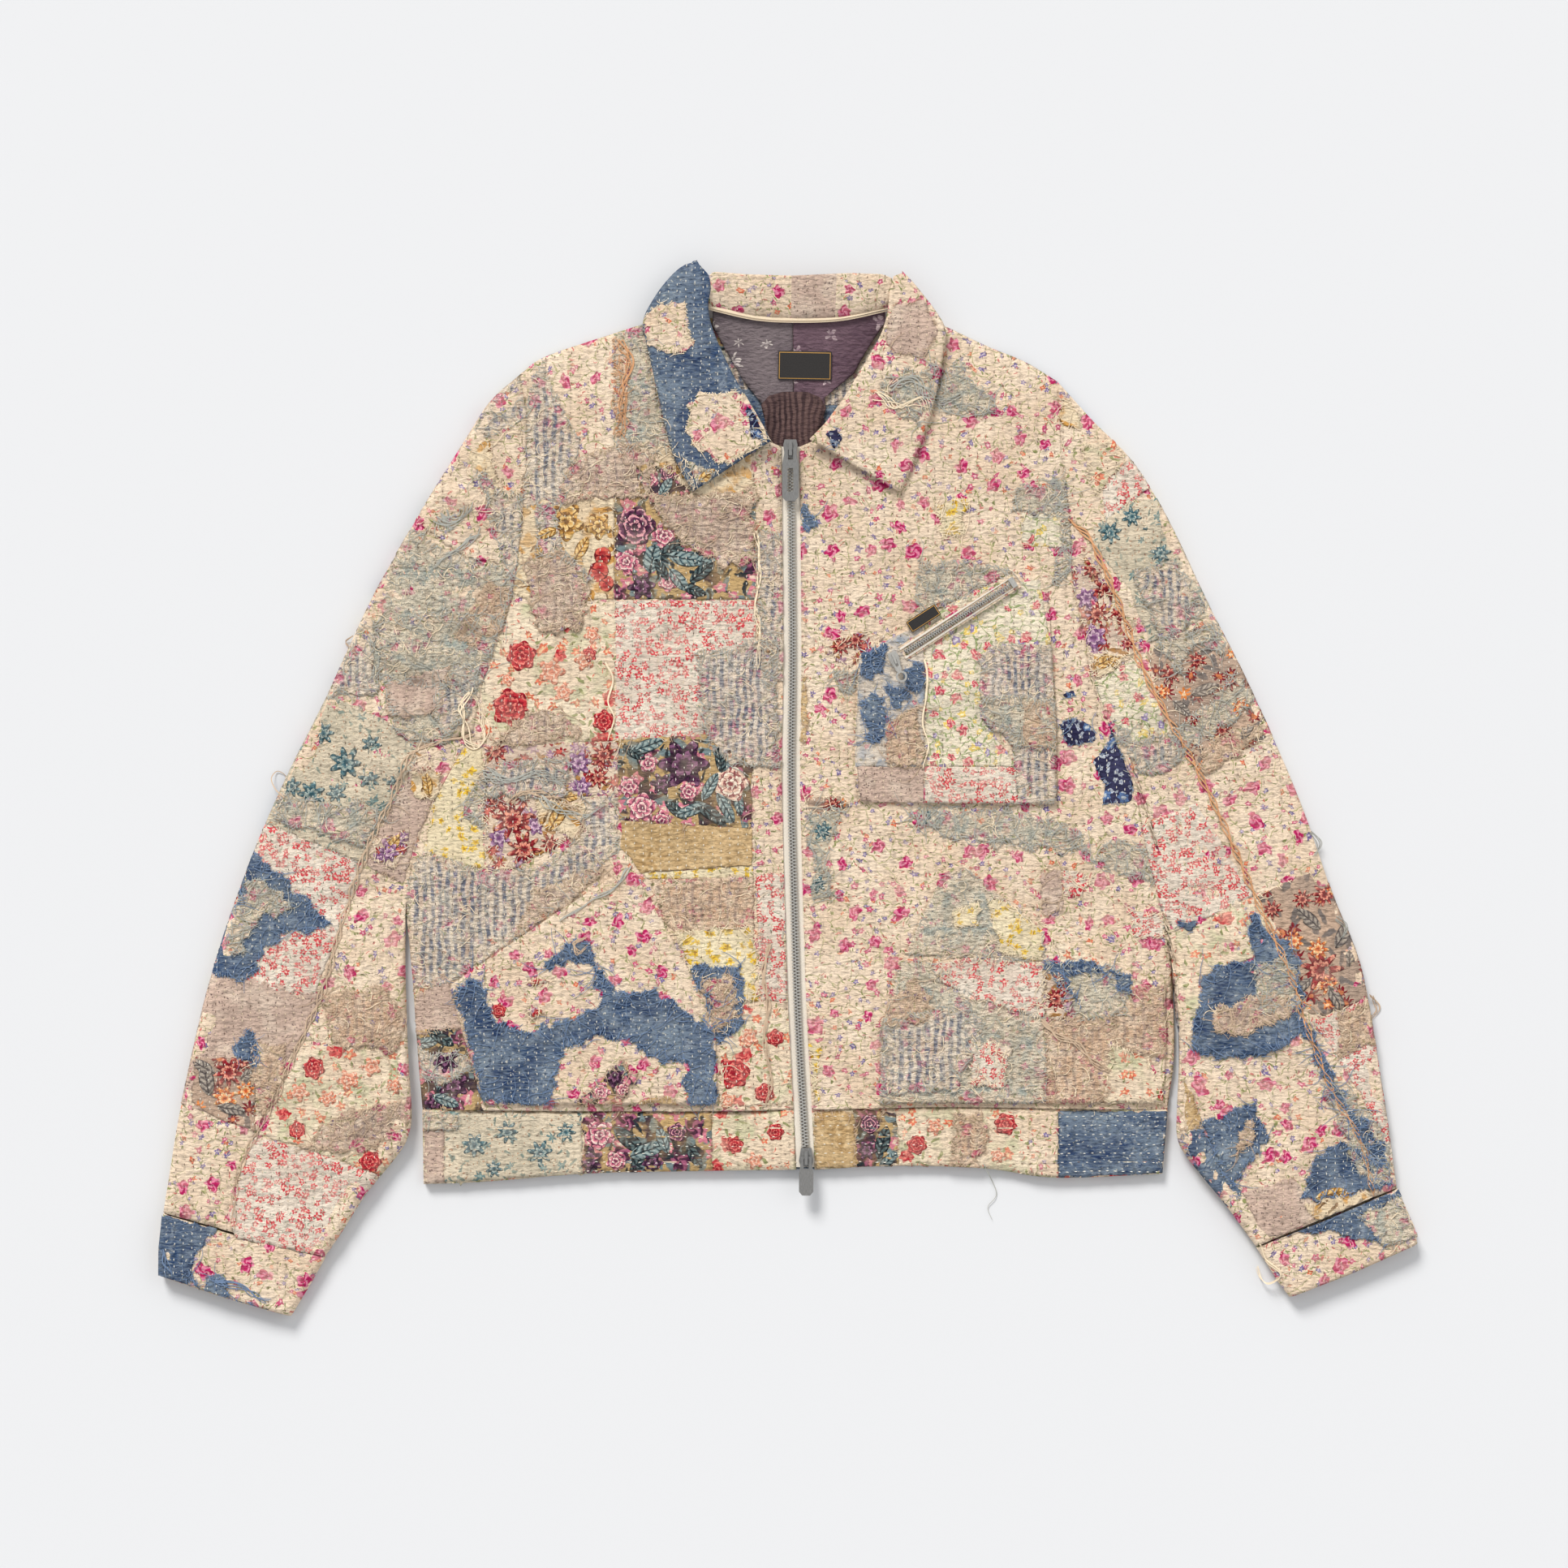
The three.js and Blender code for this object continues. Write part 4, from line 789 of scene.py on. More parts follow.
def cutSheet(bm, outline, step):
    # one face with the sheet's outline, divided by crossing lines
    face = bm.faces.new([bm.verts.new((p.x, p.y, 0)) for p in outline])
    face.normal_update()
    if face.normal.z < 0:
        face.normal_flip()
    new = [face]
    for axis, normal in ((0, (1, 0, 0)), (1, (0, 1, 0))):
        low, high = min(p[axis] for p in outline), max(p[axis] for p in outline)
        line = math.floor(low / step) * step + step
        while line < high - 0.3:
            geom = new + list({e for f in new for e in f.edges}) + list({v for f in new for v in f.verts})
            cut = bmesh.ops.bisect_plane(bm, geom=geom, plane_co=(line + 0.013, line + 0.013, 0),
                plane_no=normal)
            new = [g for g in cut["geom"] if isinstance(g, bmesh.types.BMFace)]
            line += step
    return new


def laidSheet(name, panel, fabric, thickness, step, slotName, node):
    bm = bmesh.new()
    cutSheet(bm, outlines[panel], step)
    for v in bm.verts:
        v.co.z = panelTops[panel](v.co.x, v.co.y)
    piece = wall(addPiece(name, bm, [fabric]), thickness)
    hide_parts(node)
    return piece


body = {}
laid = [
    ("front_right", "frontRight", "roseCalico", 2.4, 4.6, "shell_cloth"),
    ("front_left", "frontLeft", "roseCalico", 2.4, 4.6, "shell_cloth"),
    ("pocket_right", "pocketRight", "roseCalico", 1.8, 3.5, "pocket_cloth"),
    ("pocket_left", "pocketLeft", "roseCalico", 1.8, 3.5, "pocket_cloth"),
    ("chest_pocket", "chestPocket", "roseCalico", 1.6, 3.5, "pocket_cloth"),
    ("hem_front_right", "hemRight", "roseChintz", 2.6, 3.5, "hem_cloth"),
    ("hem_front_left", "hemLeft", "roseChintz", 2.6, 3.5, "hem_cloth"),
]
for node, *cut in laid:
    body[node] = laidSheet(node + "_cloth", *cut, node)
print("fronts, pockets and hem laid")

# the underside: same cloths in blocks, flat on the table
backBlocks = ["roseCalico", "stripeGauze", "roseChintz", "redBlossom", "tealBlotch", "indigo", "bouquet",
              "yellowSprig", "greige", "springPosy", "dustyPink", "greenGauze"]


def blockOf(x, y):
    column = math.floor((x + 500 + 9 * math.sin(y / 47)) / 92)
    row = math.floor((y + 420 + 31 * (column % 3) + 7 * math.sin(x / 33)) / 78)
    return (column * 5 + row * 7 + (column * row) % 4) % len(backBlocks)


def layBack():
    for name, panel, step, node in (("back_cloth", "back", 6, "back"),
            ("hem_back_cloth", "hemBack", 6, "hem_back")):
        edges = nearness(*([rightSide, leftSide, rightShoulder, leftShoulder] if panel == "back"
                           else [hemEdgeRight, hemEdgeLeft]))
        bm = bmesh.new()
        cutSheet(bm, outlines[panel], step)
        for v in bm.verts:
            v.co.z = 0.1 + rounded(edges(v.co.x, v.co.y), 4, 2.2) + 0.35 * (
                1 + noise.noise((v.co.x / 17, v.co.y / 17, 4))) * ease(edges(v.co.x, v.co.y) / 8)
        bmesh.ops.reverse_faces(bm, faces=bm.faces)
        for f in bm.faces:
            middle = f.calc_center_median()
            f.material_index = blockOf(middle.x, middle.y)
        body[node] = wall(addPiece(name, bm, backBlocks), 2.3)
        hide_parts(node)


layBack()


def foldedCloth(bm, foldLine, farLine, high, alongCount, acrossCount, startLine=None, low=0.0):
    # cloth that comes from farLine over the top, turns round foldLine and goes back underneath
    fold, far = respace(foldLine, count=alongCount), respace(farLine, count=alongCount)
    start = respace(startLine, count=60) if startLine else None
    made = bmesh.ops.create_grid(bm, x_segments=acrossCount, y_segments=alongCount, size=1)
    verts = made["verts"]
    for v in verts:
        u, w = (v.co.x + 1) / 2, (v.co.y + 1) / 2
        k = min(int(round(w * alongCount)), alongCount)
        a, b = fold[k], far[k]
        width = (b - a).length
        middle = a.lerp(b, 0.5)
        height = high(middle.x, middle.y)
        radius = min((height - low) / 2, width * 0.45)
        flat = width - radius
        s = u * (2 * flat + math.pi * radius)
        if s <= flat:
            t, z = width - s, None
        elif s <= flat + math.pi * radius:
            turn = math.pi / 2 - (s - flat) / radius
            t, z = radius * (1 - math.cos(turn)), low + radius + radius * math.sin(turn)
        else:
            t, z = radius + s - flat - math.pi * radius, low
        spot = a.lerp(b, t / width)
        if start and w < 1:
            q = respaceAt(start, t / width)
            spot += (q - fold[0].lerp(far[0], t / width)) * (1 - w)
        if z is None:
            z = mix(high(spot.x, spot.y), height, ease((radius + 8 - t) / 8) if t < radius + 8 else 0)
        elif z <= low + 0.01:
            z = low + 0.3 * (1 + noise.noise((spot.x / 15, spot.y / 15, 7))) * ease((t - radius) / 6)
        v.co = (spot.x, spot.y, z)
    return verts


def respaceAt(line, t):
    place = min(max(t, 0), 1) * (len(line) - 1)
    k = min(int(place), len(line) - 2)
    return line[k].lerp(line[k + 1], place - k)


def sleevePiece(node, foldPoints, seamPoints, armPoints, clearance):
    bm = bmesh.new()
    foldLine, seamLine, armLine = smoothLine(foldPoints), smoothLine(seamPoints), smoothLine(armPoints)
    # the armhole line runs from the fold to the seam
    if (armLine[0] - foldLine[0]).length > (armLine[-1] - foldLine[0]).length:
        armLine = armLine[::-1]
    verts = foldedCloth(bm, foldLine, seamLine, sleeveRise, 112, 50, armLine, low=clearance)
    bm.normal_update()
    low = [f for f in bm.faces if f.calc_center_median().z < clearance + 1]
    if sum(f.normal.z for f in low) > 0:
        bmesh.ops.reverse_faces(bm, faces=bm.faces)
    for f in bm.faces:
        middle = f.calc_center_median()
        f.material_index = 1 + blockOf(middle.x, middle.y) if middle.z < 4.5 else 0
    body[node] = wall(addPiece(node + "_cloth", bm, ["roseCalico"] + backBlocks), 1.6)
    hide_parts(node)


sleeves = [
    ("sleeve_right_upper", rightOuter, rightSeam, rightArmHigh, 0.0, "sleeveRight"),
    ("sleeve_right_under", rightInner, rightSeam, rightArmLow, 1.4, None),
    ("sleeve_left_upper", leftOuter, leftSeam, leftArmHigh, 0.0, "sleeveLeft"),
    ("sleeve_left_under", leftInner, leftSeam, leftArmLow, 1.4, None),
]
for node, *lines, clearance, _ in sleeves:
    sleevePiece(node, *lines, clearance)

cuffSides = {
    "right": (((-478, -324), (-480.8, -350), (-481, -371)), ((-354, -358), (-364, -376), (-380, -402.5))),
    "left": (((465.5, -305), (479, -335), (481, -347)), ((357.5, -350), (374, -376), (383, -388))),
}


def cuffHeight(x, y):
    return 12.6 + 0.7 * noise.noise((x / 14, y / 14, 2))


def makeCuffs():
    for side, (outer, inner) in cuffSides.items():
        outerLine, innerLine = [Vector(p) for p in outer], [Vector(p) for p in inner]
        middleLine = [a.lerp(b, 0.5) + Vector((0, -1.5)) for a, b in zip(outerLine, innerLine)]
        bm = bmesh.new()
        for line in (outerLine, innerLine):
            verts = foldedCloth(bm, line, middleLine, cuffHeight, 14, 44)
            bm.normal_update()
            faces = list({f for v in verts for f in v.link_faces})
            low = [f for f in faces if f.calc_center_median().z < 1]
            if sum(f.normal.z for f in low) > 0:
                bmesh.ops.reverse_faces(bm, faces=faces)
        bmesh.ops.remove_doubles(bm, verts=bm.verts, dist=0.4)
        node = "cuff_" + side
        body[node] = wall(addPiece(node + "_cloth", bm, ["roseCalico"]), 2.2)
        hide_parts(node)


makeCuffs()
panelTops["cuffRight"] = panelTops["cuffLeft"] = cuffHeight


def makeCollar():
    for side, roll, leaf in (("right", rightRoll, rightLeaf), ("left", leftRoll, leftLeaf)):
        bm = bmesh.new()
        rollLine, leafLine = respace(smoothLine(roll), count=50), respace(smoothLine(leaf), count=50)
        made = bmesh.ops.create_grid(bm, x_segments=30, y_segments=50, size=1)
        for v in made["verts"]:
            u, k = (v.co.x + 1) / 2, int(round((v.co.y + 1) * 25))
            a, b = rollLine[k], leafLine[k]
            width, radius = (b - a).length, 3.0
            s = u * (width - radius + math.pi * radius + 12)
            if s <= width - radius:
                t = width - s
                spot = a.lerp(b, t / width)
                z = collarTop(spot.x, spot.y) - rounded(width - t, 3, 1.5)
            else:
                turn = max(math.pi / 2 - (s - width + radius) / radius, -math.pi / 2)
                t = radius * (1 - math.cos(turn)) + max(0, s - width + radius - math.pi * radius)
                t = min(t, width * 0.9)
                spot = a.lerp(b, t / width)
                edge = a.lerp(b, radius / width)
                z = collarTop(edge.x, edge.y) - radius + radius * math.sin(turn)
            v.co = (spot.x, spot.y, z)
        bm.normal_update()
        if sum(f.normal.z for f in bm.faces if f.calc_center_median().z > 14) < 0:
            bmesh.ops.reverse_faces(bm, faces=bm.faces)
        node = "collar_" + side
        fabric = "indigo" if side == "right" else "roseCalico"
        body[node] = wall(addPiece(node + "_cloth", bm, [fabric]), 2.4)
        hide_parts(node)

    # the collar's back stands up behind the neck and rolls over at its top
    top = [Vector(p) for p in ((-62, 388), (-57, 392), (-32, 390), (2, 389), (47, 391), (72, 390),
        (79, 387))]
    neck = [Vector(p) for p in ((-62, 368), (-57, 368), (-26, 361), (3, 359), (39, 360), (70, 366),
        (77, 368))]
    topLine, neckLine = respace(top, count=50), respace(neck, count=50)
    bm = bmesh.new()
    made = bmesh.ops.create_grid(bm, x_segments=24, y_segments=50, size=1)
    for v in made["verts"]:
        u, k = (v.co.x + 1) / 2, int(round((v.co.y + 1) * 25))
        a, b = topLine[k], neckLine[k]
        wave = 1.1 * noise.noise((a.x / 16, a.y / 16, 4)) + 0.6 * noise.noise((a.x / 7, 3, u * 3))
        arch = math.pi * u
        spot = b.lerp(a, 0.5 - 0.5 * math.cos(arch))
        z = 8.4 + 9.0 * math.sin(arch * 0.62) + wave * math.sin(arch)
        v.co = (spot.x, spot.y + 2.5 * u * u, z)
    bm.normal_update()
    if sum(f.normal.z for f in bm.faces) < 0:
        bmesh.ops.reverse_faces(bm, faces=bm.faces)
    for f in bm.faces:
        f.material_index = int(2 < f.calc_center_median().x < 37)
    body["collar_back"] = wall(addPiece("collar_back_cloth", bm, ["roseCalico", "dustyPink"]), 2.2)
    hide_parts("collar_back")


makeCollar()
print("sleeves, cuffs and collar folded")

outlines["liningRight"] = [Vector(p) for p in ((-18, 262), (4, 262), (3, 366), (-58, 366), (-58, 355),
    (-48, 336),
                                               (-34, 312), (-18, 292))]
outlines["liningLeft"] = [Vector(p) for p in ((4.5, 262), (26, 262), (28, 300), (50, 318), (60, 336),
    (74, 357),
                                              (74, 366), (3.5, 366))]
outlines["liningRib"] = [Vector(p) for p in ((-12, 258), (18, 258), (29, 292), (24, 300), (14, 304),
    (-4, 304),
                                             (-15, 301), (-21, 294))]


def liningTop(x, y):
    return 5.0 + 0.5 * noise.noise((x / 14, y / 22, 3)) + 1.2 * ease((y - 340) / 25)


for node, panel, fabric, lift in (("lining_right", "liningRight", "greyStar", 0),
                                  ("lining_left", "liningLeft", "purpleDash", 0),
                                  ("lining_rib", "liningRib", "brownRib", 0.9)):
    panelTops[panel] = lambda x, y, lift=lift: liningTop(x, y) + lift
    body[node] = laidSheet(node + "_cloth", panel, fabric, 1.2, 4, "lining_cloth", node)
print("neck lined")

# patches on each panel: cloth, layer, raggedness in millimetres, then the outline as x, y, x, y
patches = {}
patches["frontRight"] = [
    ("stripeGauze", 1, 1, -203, 290, -188, 327, -173, 293, -159, 263, -174, 218, -202, 216),
    ("greenGauze", 1, 1, -131, 346, -111, 357, -104, 315, -88, 254, -131, 258),
    ("orangeFray", 2, 1.2, -133, 345, -121, 333, -126, 293, -130, 270, -133, 290),
    ("greige", 2, 1.5, -172, 238, -158, 254, -120, 264, -102, 256, -107, 223, -173, 219),
    ("goldLeaf", 2, 1, -99, 261, -81, 254, -71, 233, -29, 259, -25, 223, -67, 223, -99, 247),
    ("goldLeaf", 1, 0.3, -205, 222, -133, 222, -133, 145, -197, 143, -211, 150),
    ("bouquet", 1, 0.3, -133, 224, -25, 224, -25, 145, -133, 145),
    ("bouquet", 2, 1, -116, 247, -81, 249, -72, 230, -81, 222, -113, 224),
    ("greige", 3, 1.8, -104, 223, -27, 228, -25, 176, -50, 169, -74, 185, -93, 200),
    ("stripeFray", 2, 1.2, -192, 216, -179, 216, -173, 183, -149, 159, -173, 179, -192, 178),
    ("roseChintz", 1, 0.3, -233, 142, -131, 142, -131, 37, -230, 32, -235, 50),
    ("greige", 3, 1.6, -199, 174, -173, 183, -151, 159, -158, 124, -189, 117, -199, 150),
    ("greige", 2, 1.8, -226, 34, -200, 56, -173, 60, -159, 43, -200, 33),
    ("redBlossom", 1, 0.3, -133, 144, -25, 144, -25, 106, -31, 82, -67, 37, -133, 37),
    ("stripeFray", 2, 1.6, -70, 103, -9, 117, -7, 16, -47, 20, -65, 41),
    ("stripeFray", 2, 1.3, -23, 195, -4, 197, -3, 82, -17, 82, -22, 140),
    ("crimsonLilac", 3, 1.2, -23, 119, -12, 115, -15, 103, -22, 106),
    ("crimsonLilac", 1, 0.4, -232, 34, -129, 37, -129, -3, -157, -6, -193, 8, -232, 5),
    ("stripeFray", 3, 1.8, -233, 10, -218, 22, -169, 23, -166, 10, -176, -6, -230, -4),
    ("crimsonLilac", 1, 1, -233, -4, -193, -3, -157, -15, -157, -32, -207, -60, -232, -63),
    ("goldLeaf", 2, 1.2, -193, -4, -157, -13, -160, -37, -179, -32, -192, -22),
    ("yellowSprig", 1, 0.6, -253, 32, -233, 32, -233, -60, -253, -58, -279, -48, -270, -6),
    ("greenGauze", 2, 1.5, -240, 4, -231, 3, -235, -29, -249, -20),
    ("bouquet", 2, 0.5, -130, 38, -63, 42, -28, 20, -28, -30, -130, -24),
    ("mustard", 2, 0.5, -128, -24, -28, -30, -28, -58, -112, -64, -128, -44),
    ("stripeGauze", 1, 0.8, -294, -76, -279, -46, -232, -64, -183, -58, -157, -32, -157, -6, -131, -4,
     -130, -46, -173, -88, -207, -114, -258, -147, -292, -155),
    ("greige", 2, 1.6, -193, -77, -139, -60, -171, -90, -214, -117, -200, -95),
    ("yellowSprig", 1, 0.5, -112, -64, -28, -58, -26, -67, -106, -69),
    ("taupe", 1, 0.6, -106, -69, -26, -67, -26, -106, -87, -110, -96, -98),
    ("yellowSprig", 1, 1, -88, -109, -27, -105, -23, -161, -36, -161, -74, -140),
    ("indigo", 2, 2, -74, -138, -36, -134, -36, -180, -53, -196, -61, -168),
    ("taupe", 3, 2, -66, -147, -41, -141, -39, -172, -54, -185),
    ("redBlossom", 1, 0.6, -25, -65, -4, -64, -1, -163, -21, -161),
    ("roseChintz", 1, 1, -14, -168, 2, -168, 3, -240, -50, -243, -54, -200, -36, -164),
    ("dustyPink", 1, 1, -287, -161, -264, -140, -254, -151, -247, -183, -286, -187),
    ("bouquet", 1, 0.8, -288, -185, -247, -182, -238, -221, -233, -246, -284, -246),
    ("stripeFray", 2, 2, -285, -200, -245, -202, -243, -216, -264, -225, -281, -217),
]
patches["pocketRight"] = [
    ("indigo", 1, 2.2, -256, -153, -243, -143, -230, -157, -224, -174, -209, -185, -159, -176, -142, -155,
     -153, -132, -184, -135, -178, -125, -163, -115, -151, -117, -150, -130, -127, -158, -110, -152,
     -74, -172, -59, -185, -54, -241, -74, -243, -78, -206, -101, -207, -122, -190, -148, -189, -171, -198,
     -184, -244, -233, -237, -247, -183),
    ("bouquet", 2, 1.5, -140, -216, -127, -206, -115, -217, -129, -241, -161, -240),
    ("mustard", 2, 1, -113, -240, -105, -236, -91, -235, -86, -240),
    ("crimsonLilac", 2, 0.8, -200, -149, -192, -143, -181, -147, -197, -151),
    ("crimsonLilac", 2, 0.8, -200, -168, -192, -167, -183, -172, -197, -176),
]
patches["hemRight"] = [
    ("dustyPink", 1, 0.3, -279, -247, -263, -247, -263, -301, -278, -301),
    ("greenGauze", 2, 0.8, -279, -247, -252, -248, -253, -260, -279, -260),
    ("tealBlotch", 1, 0.4, -263, -247, -158, -247, -157, -294, -263, -301),
    ("bouquet", 1, 0.6, -157, -251, -146, -247, -59, -247, -58, -292, -157, -294),
]
patches["hemLeft"] = [
    ("bouquet", 1, 0.6, 50, -246, 83, -246, 84, -288, 52, -289),
    ("mustard", 1, 0.6, 19, -246, 50, -246, 52, -289, 21, -290),
    ("taupe", 2, 1.8, 127, -247, 149, -247, 150, -275, 146, -289, 123, -289, 129, -270),
    ("roseCalico", 2, 0.3, 184, -246, 206, -246, 206, -296, 184, -294),
    ("indigo", 1, 0.5, 206, -246, 290, -246, 286, -294, 206, -297),
]
patches["frontLeft"] = [
    ("greenGauze", 1, 1.6, 172, 230, 204, 235, 211, 212, 197, 210, 171, 212),
    ("greenGauze", 1, 2, 117, 318, 131, 326, 150, 299, 159, 291, 144, 284, 115, 290),
    ("greenGauze", 1, 1.8, 203, 239, 214, 228, 219, 190, 214, 160, 200, 155, 210, 193),
    ("springPosy", 1, 0.6, 178, 211, 209, 211, 209, 186, 178, 184),
    ("yellowSprig", 1, 1.6, 111, 219, 137, 221, 134, 193, 117, 192),
    ("greenGauze", 1, 1.6, 99, 175, 144, 172, 172, 167, 150, 157, 127, 143, 99, 126),
    ("crimsonLilac", 1, 1.2, 30, 112, 56, 120, 73, 117, 45, 93, 28, 105),
    ("indigo", 1, 1.8, 12, 216, 17, 212, 21, 204, 16, 195, 12, 200),
    ("navyDot", 1, 0.8, 206, 50, 219, 56, 231, 50, 235, 37, 214, 33),
    ("navyDot", 1, 0.8, 211, 72, 217, 75, 220, 71, 215, 69),
    ("navyDot", 1, 0.6, 247, 51, 250, 37, 264, 4, 262, -10, 240, -12, 242, 3, 231, 20, 246, 37),
    ("stripeFray", 1, 1, 249, 50, 256, 48, 268, 25, 266, 10),
    ("tealBlotch", 1, 2, 16, -18, 45, -17, 30, -41, 26, -60, 38, -83, 20, -85),
    ("tealBlotch", 1, 2, 94, -22, 103, -15, 119, -19, 115, -29),
    ("folk", 1, 1, 14, -8, 41, -6, 48, -13, 31, -18, 16, -18),
    ("dustyPink", 1, 1.2, 193, -64, 209, -60, 209, -93, 193, -95),
    ("redBlossom", 1, 1, 209, -61, 221, -64, 231, -74, 224, -82, 210, -81),
    ("redBlossom", 1, 1, 261, -93, 287, -95, 287, -113, 263, -113),
    ("greenGauze", 1, 2, 230, -53, 249, -41, 276, -46, 284, -71, 258, -67),
    ("yellowSprig", 1, 1.2, 17, -197, 23, -197, 22, -240, 18, -233),
    ("mustard", 1, 1, 10, 84, 14, 86, 14, 34, 10, 37),
    ("greenGauze", 1, 2, 35, 91, 51, 91, 51, 74, 40, 76),
    ("greenGauze", 1, 2, 92, -20, 150, -14, 214, -26, 230, -48, 170, -44, 120, -36),
]
patches["chestPocket"] = [
    ("fadedBlue", 1, 0.4, 54, 100, 75, 113, 104, 129, 104, 17, 51, 17),
    ("indigo", 2, 1.8, 56, 101, 63, 108, 75, 110, 75, 97, 63, 84, 54, 86),
    ("indigo", 2, 1.8, 53, 65, 66, 72, 79, 54, 72, 47, 70, 35, 61, 36, 61, 50),
    ("indigo", 2, 1.6, 75, 77, 89, 76, 93, 70, 82, 63),
    ("indigo", 2, 1.6, 88, 90, 103, 97, 105, 84, 96, 72),
    ("taupe", 2, 1.6, 75, 43, 82, 56, 99, 63, 103, 17, 75, 17),
    ("springPosy", 1, 0.3, 104, 130, 151, 155, 192, 160, 200, 110, 148, 90, 147, 55, 175, 17, 104, 17),
    ("stripeFray", 2, 1, 146, 97, 155, 110, 203, 110, 205, -11, 175, -11, 172, 41, 148, 56),
    ("greenGauze", 3, 1.8, 148, 65, 162, 72, 204, 67, 204, 32, 176, 32, 150, 50),
    ("taupe", 3, 1.8, 178, 62, 198, 69, 204, 55, 204, 32, 181, 32),
    ("redBlossom", 1, 0.3, 104, 17, 175, 17, 176, -11, 104, -11),
    ("dustyPink", 1, 0.4, 52, 17, 104, 17, 103, -11, 55, -9),
]
patches["pocketLeft"] = [
    ("greenGauze", 1, 0.6, 96, -108, 119, -63, 138, -62, 195, -109, 194, -131, 85, -127),
    ("yellowSprig", 2, 1.2, 125, -93, 145, -87, 145, -105, 127, -105),
    ("yellowSprig", 2, 1, 151, -82, 168, -88, 195, -108, 194, -131, 163, -125),
    ("greenGauze", 1, 0.8, 85, -131, 108, -132, 142, -160, 196, -175, 196, -240, 70, -240, 72, -179),
    ("redBlossom", 2, 1, 108, -133, 138, -128, 194, -133, 195, -174, 138, -160, 119, -149),
    ("taupe", 2, 2, 78, -160, 96, -145, 109, -160, 108, -175, 77, -179),
    ("stripeGauze", 2, 1.6, 72, -176, 138, -163, 150, -186, 127, -229, 71, -233),
    ("redBlossom", 3, 1.5, 138, -199, 155, -191, 168, -199, 164, -226, 140, -227),
    ("taupe", 1, 1.2, 197, -175, 250, -173, 247, -207, 241, -240, 196, -240),
    ("roseChintz", 1, 0.4, 202, -115, 232, -128, 252, -137, 210, -137),
    ("greenGauze", 1, 1.4, 195, -133, 252, -138, 261, -156, 252, -173, 218, -175, 206, -152),
    ("indigo", 2, 1.6, 195, -131, 226, -131, 262, -142, 262, -156, 253, -153, 245, -140, 207, -142,
     222, -162, 203, -145),
    ("crimsonLilac", 2, 0.8, 195, -138, 206, -142, 219, -156, 210, -177, 197, -175),
    ("taupe", 2, 1.2, 250, -175, 267, -152, 287, -150, 288, -205, 271, -202, 248, -194),
    ("roseChintz", 2, 1.2, 242, -224, 248, -194, 271, -203, 288, -224, 286, -239, 240, -239),
]
patches["sleeveRight"] = [
    ("stripeGauze", 1, 1, -222, 303, -203, 317, -200, 285, -226, 270, -240, 276),
    ("goldLeaf", 1, 1, -245, 256, -229, 268, -220, 228, -226, 222, -236, 242),
    ("roseCalico", 2, 0.8, -227, 270, -206, 283, -200, 250, -205, 226, -215, 223, -226, 250),
    ("stripeGauze", 1, 1.6, -236, 242, -220, 228, -203, 223, -203, 193, -211, 160, -229, 206),
    ("roseCalico", 2, 0.8, -266, 239, -252, 249, -229, 223, -217, 174, -245, 176, -286, 205),
    ("greenGauze", 1, 1.5, -292, 200, -262, 183, -229, 171, -209, 165, -212, 148, -233, 96, -245, 72,
     -345, 91),
    ("taupe", 2, 1.8, -229, 159, -211, 153, -218, 120, -245, 110, -255, 117),
    ("stripeGauze", 2, 1.2, -329, 122, -317, 119, -315, 74, -354, 70),
    ("greenGauze", 2, 1.5, -315, 127, -265, 135, -218, 130, -236, 80, -245, 59, -263, 34, -299, 41,
     -310, 81),
    ("dustyPink", 3, 1, -309, 80, -258, 94, -264, 71, -273, 58, -306, 54),
    ("stripeGauze", 3, 1.6, -259, 92, -236, 92, -247, 57, -261, 41, -273, 57),
    ("tealBlotch", 1, 0.6, -357, 75, -306, 52, -282, 29, -308, -20, -325, -57, -400, -25, -390, 10),
    ("greenGauze", 2, 2, -392, -7, -317, -14, -309, -23, -324, -43, -391, -24),
    ("redBlossom", 1, 0.4, -400, -25, -324, -57, -341, -103, -363, -161, -445, -140, -420, -53),
    ("indigo", 2, 1.8, -412, -46, -383, -70, -349, -102, -365, -109, -386, -108, -397, -121, -409, -140,
     -421, -147, -445, -137, -421, -84),
    ("greenGauze", 3, 2, -412, -68, -393, -75, -376, -91, -407, -100, -416, -127, -430, -115),
    ("crimsonLilac", 1, 1, -287, 29, -275, 33, -272, 20, -282, 12),
    ("dustyPink", 1, 0.6, -309, -23, -285, 20, -265, 10, -282, -34, -295, -73, -325, -57),
    ("goldLeaf", 2, 1, -288, 13, -266, 12, -268, -6, -287, -7),
    ("crimsonLilac", 2, 1, -319, -53, -317, -40, -291, -31, -291, -44, -302, -61),
    ("dustyPink", 1, 0.4, -446, -132, -377, -152, -354, -157, -384, -211, -409, -232, -409, -260,
     -470, -238),
    ("indigo", 2, 1.5, -413, -183, -406, -196, -407, -211, -424, -202),
    ("folk", 2, 0.5, -453, -205, -407, -205, -407, -261, -436, -251, -456, -238),
    ("taupe", 2, 1.4, -407, -196, -384, -195, -387, -223, -400, -249, -410, -223),
    ("taupe", 2, 1.8, -354, -157, -310, -152, -289, -179, -301, -203, -346, -193),
    ("roseChintz", 1, 0.5, -369, -194, -324, -198, -287, -200, -287, -260, -309, -296, -369, -274,
     -400, -265, -384, -223),
    ("greige", 2, 2, -328, -242, -284, -238, -290, -258, -316, -276, -374, -274, -358, -260),
    ("redBlossom", 1, 0.3, -409, -265, -369, -274, -309, -296, -341, -344, -355, -360, -422, -342,
     -427, -324),
]
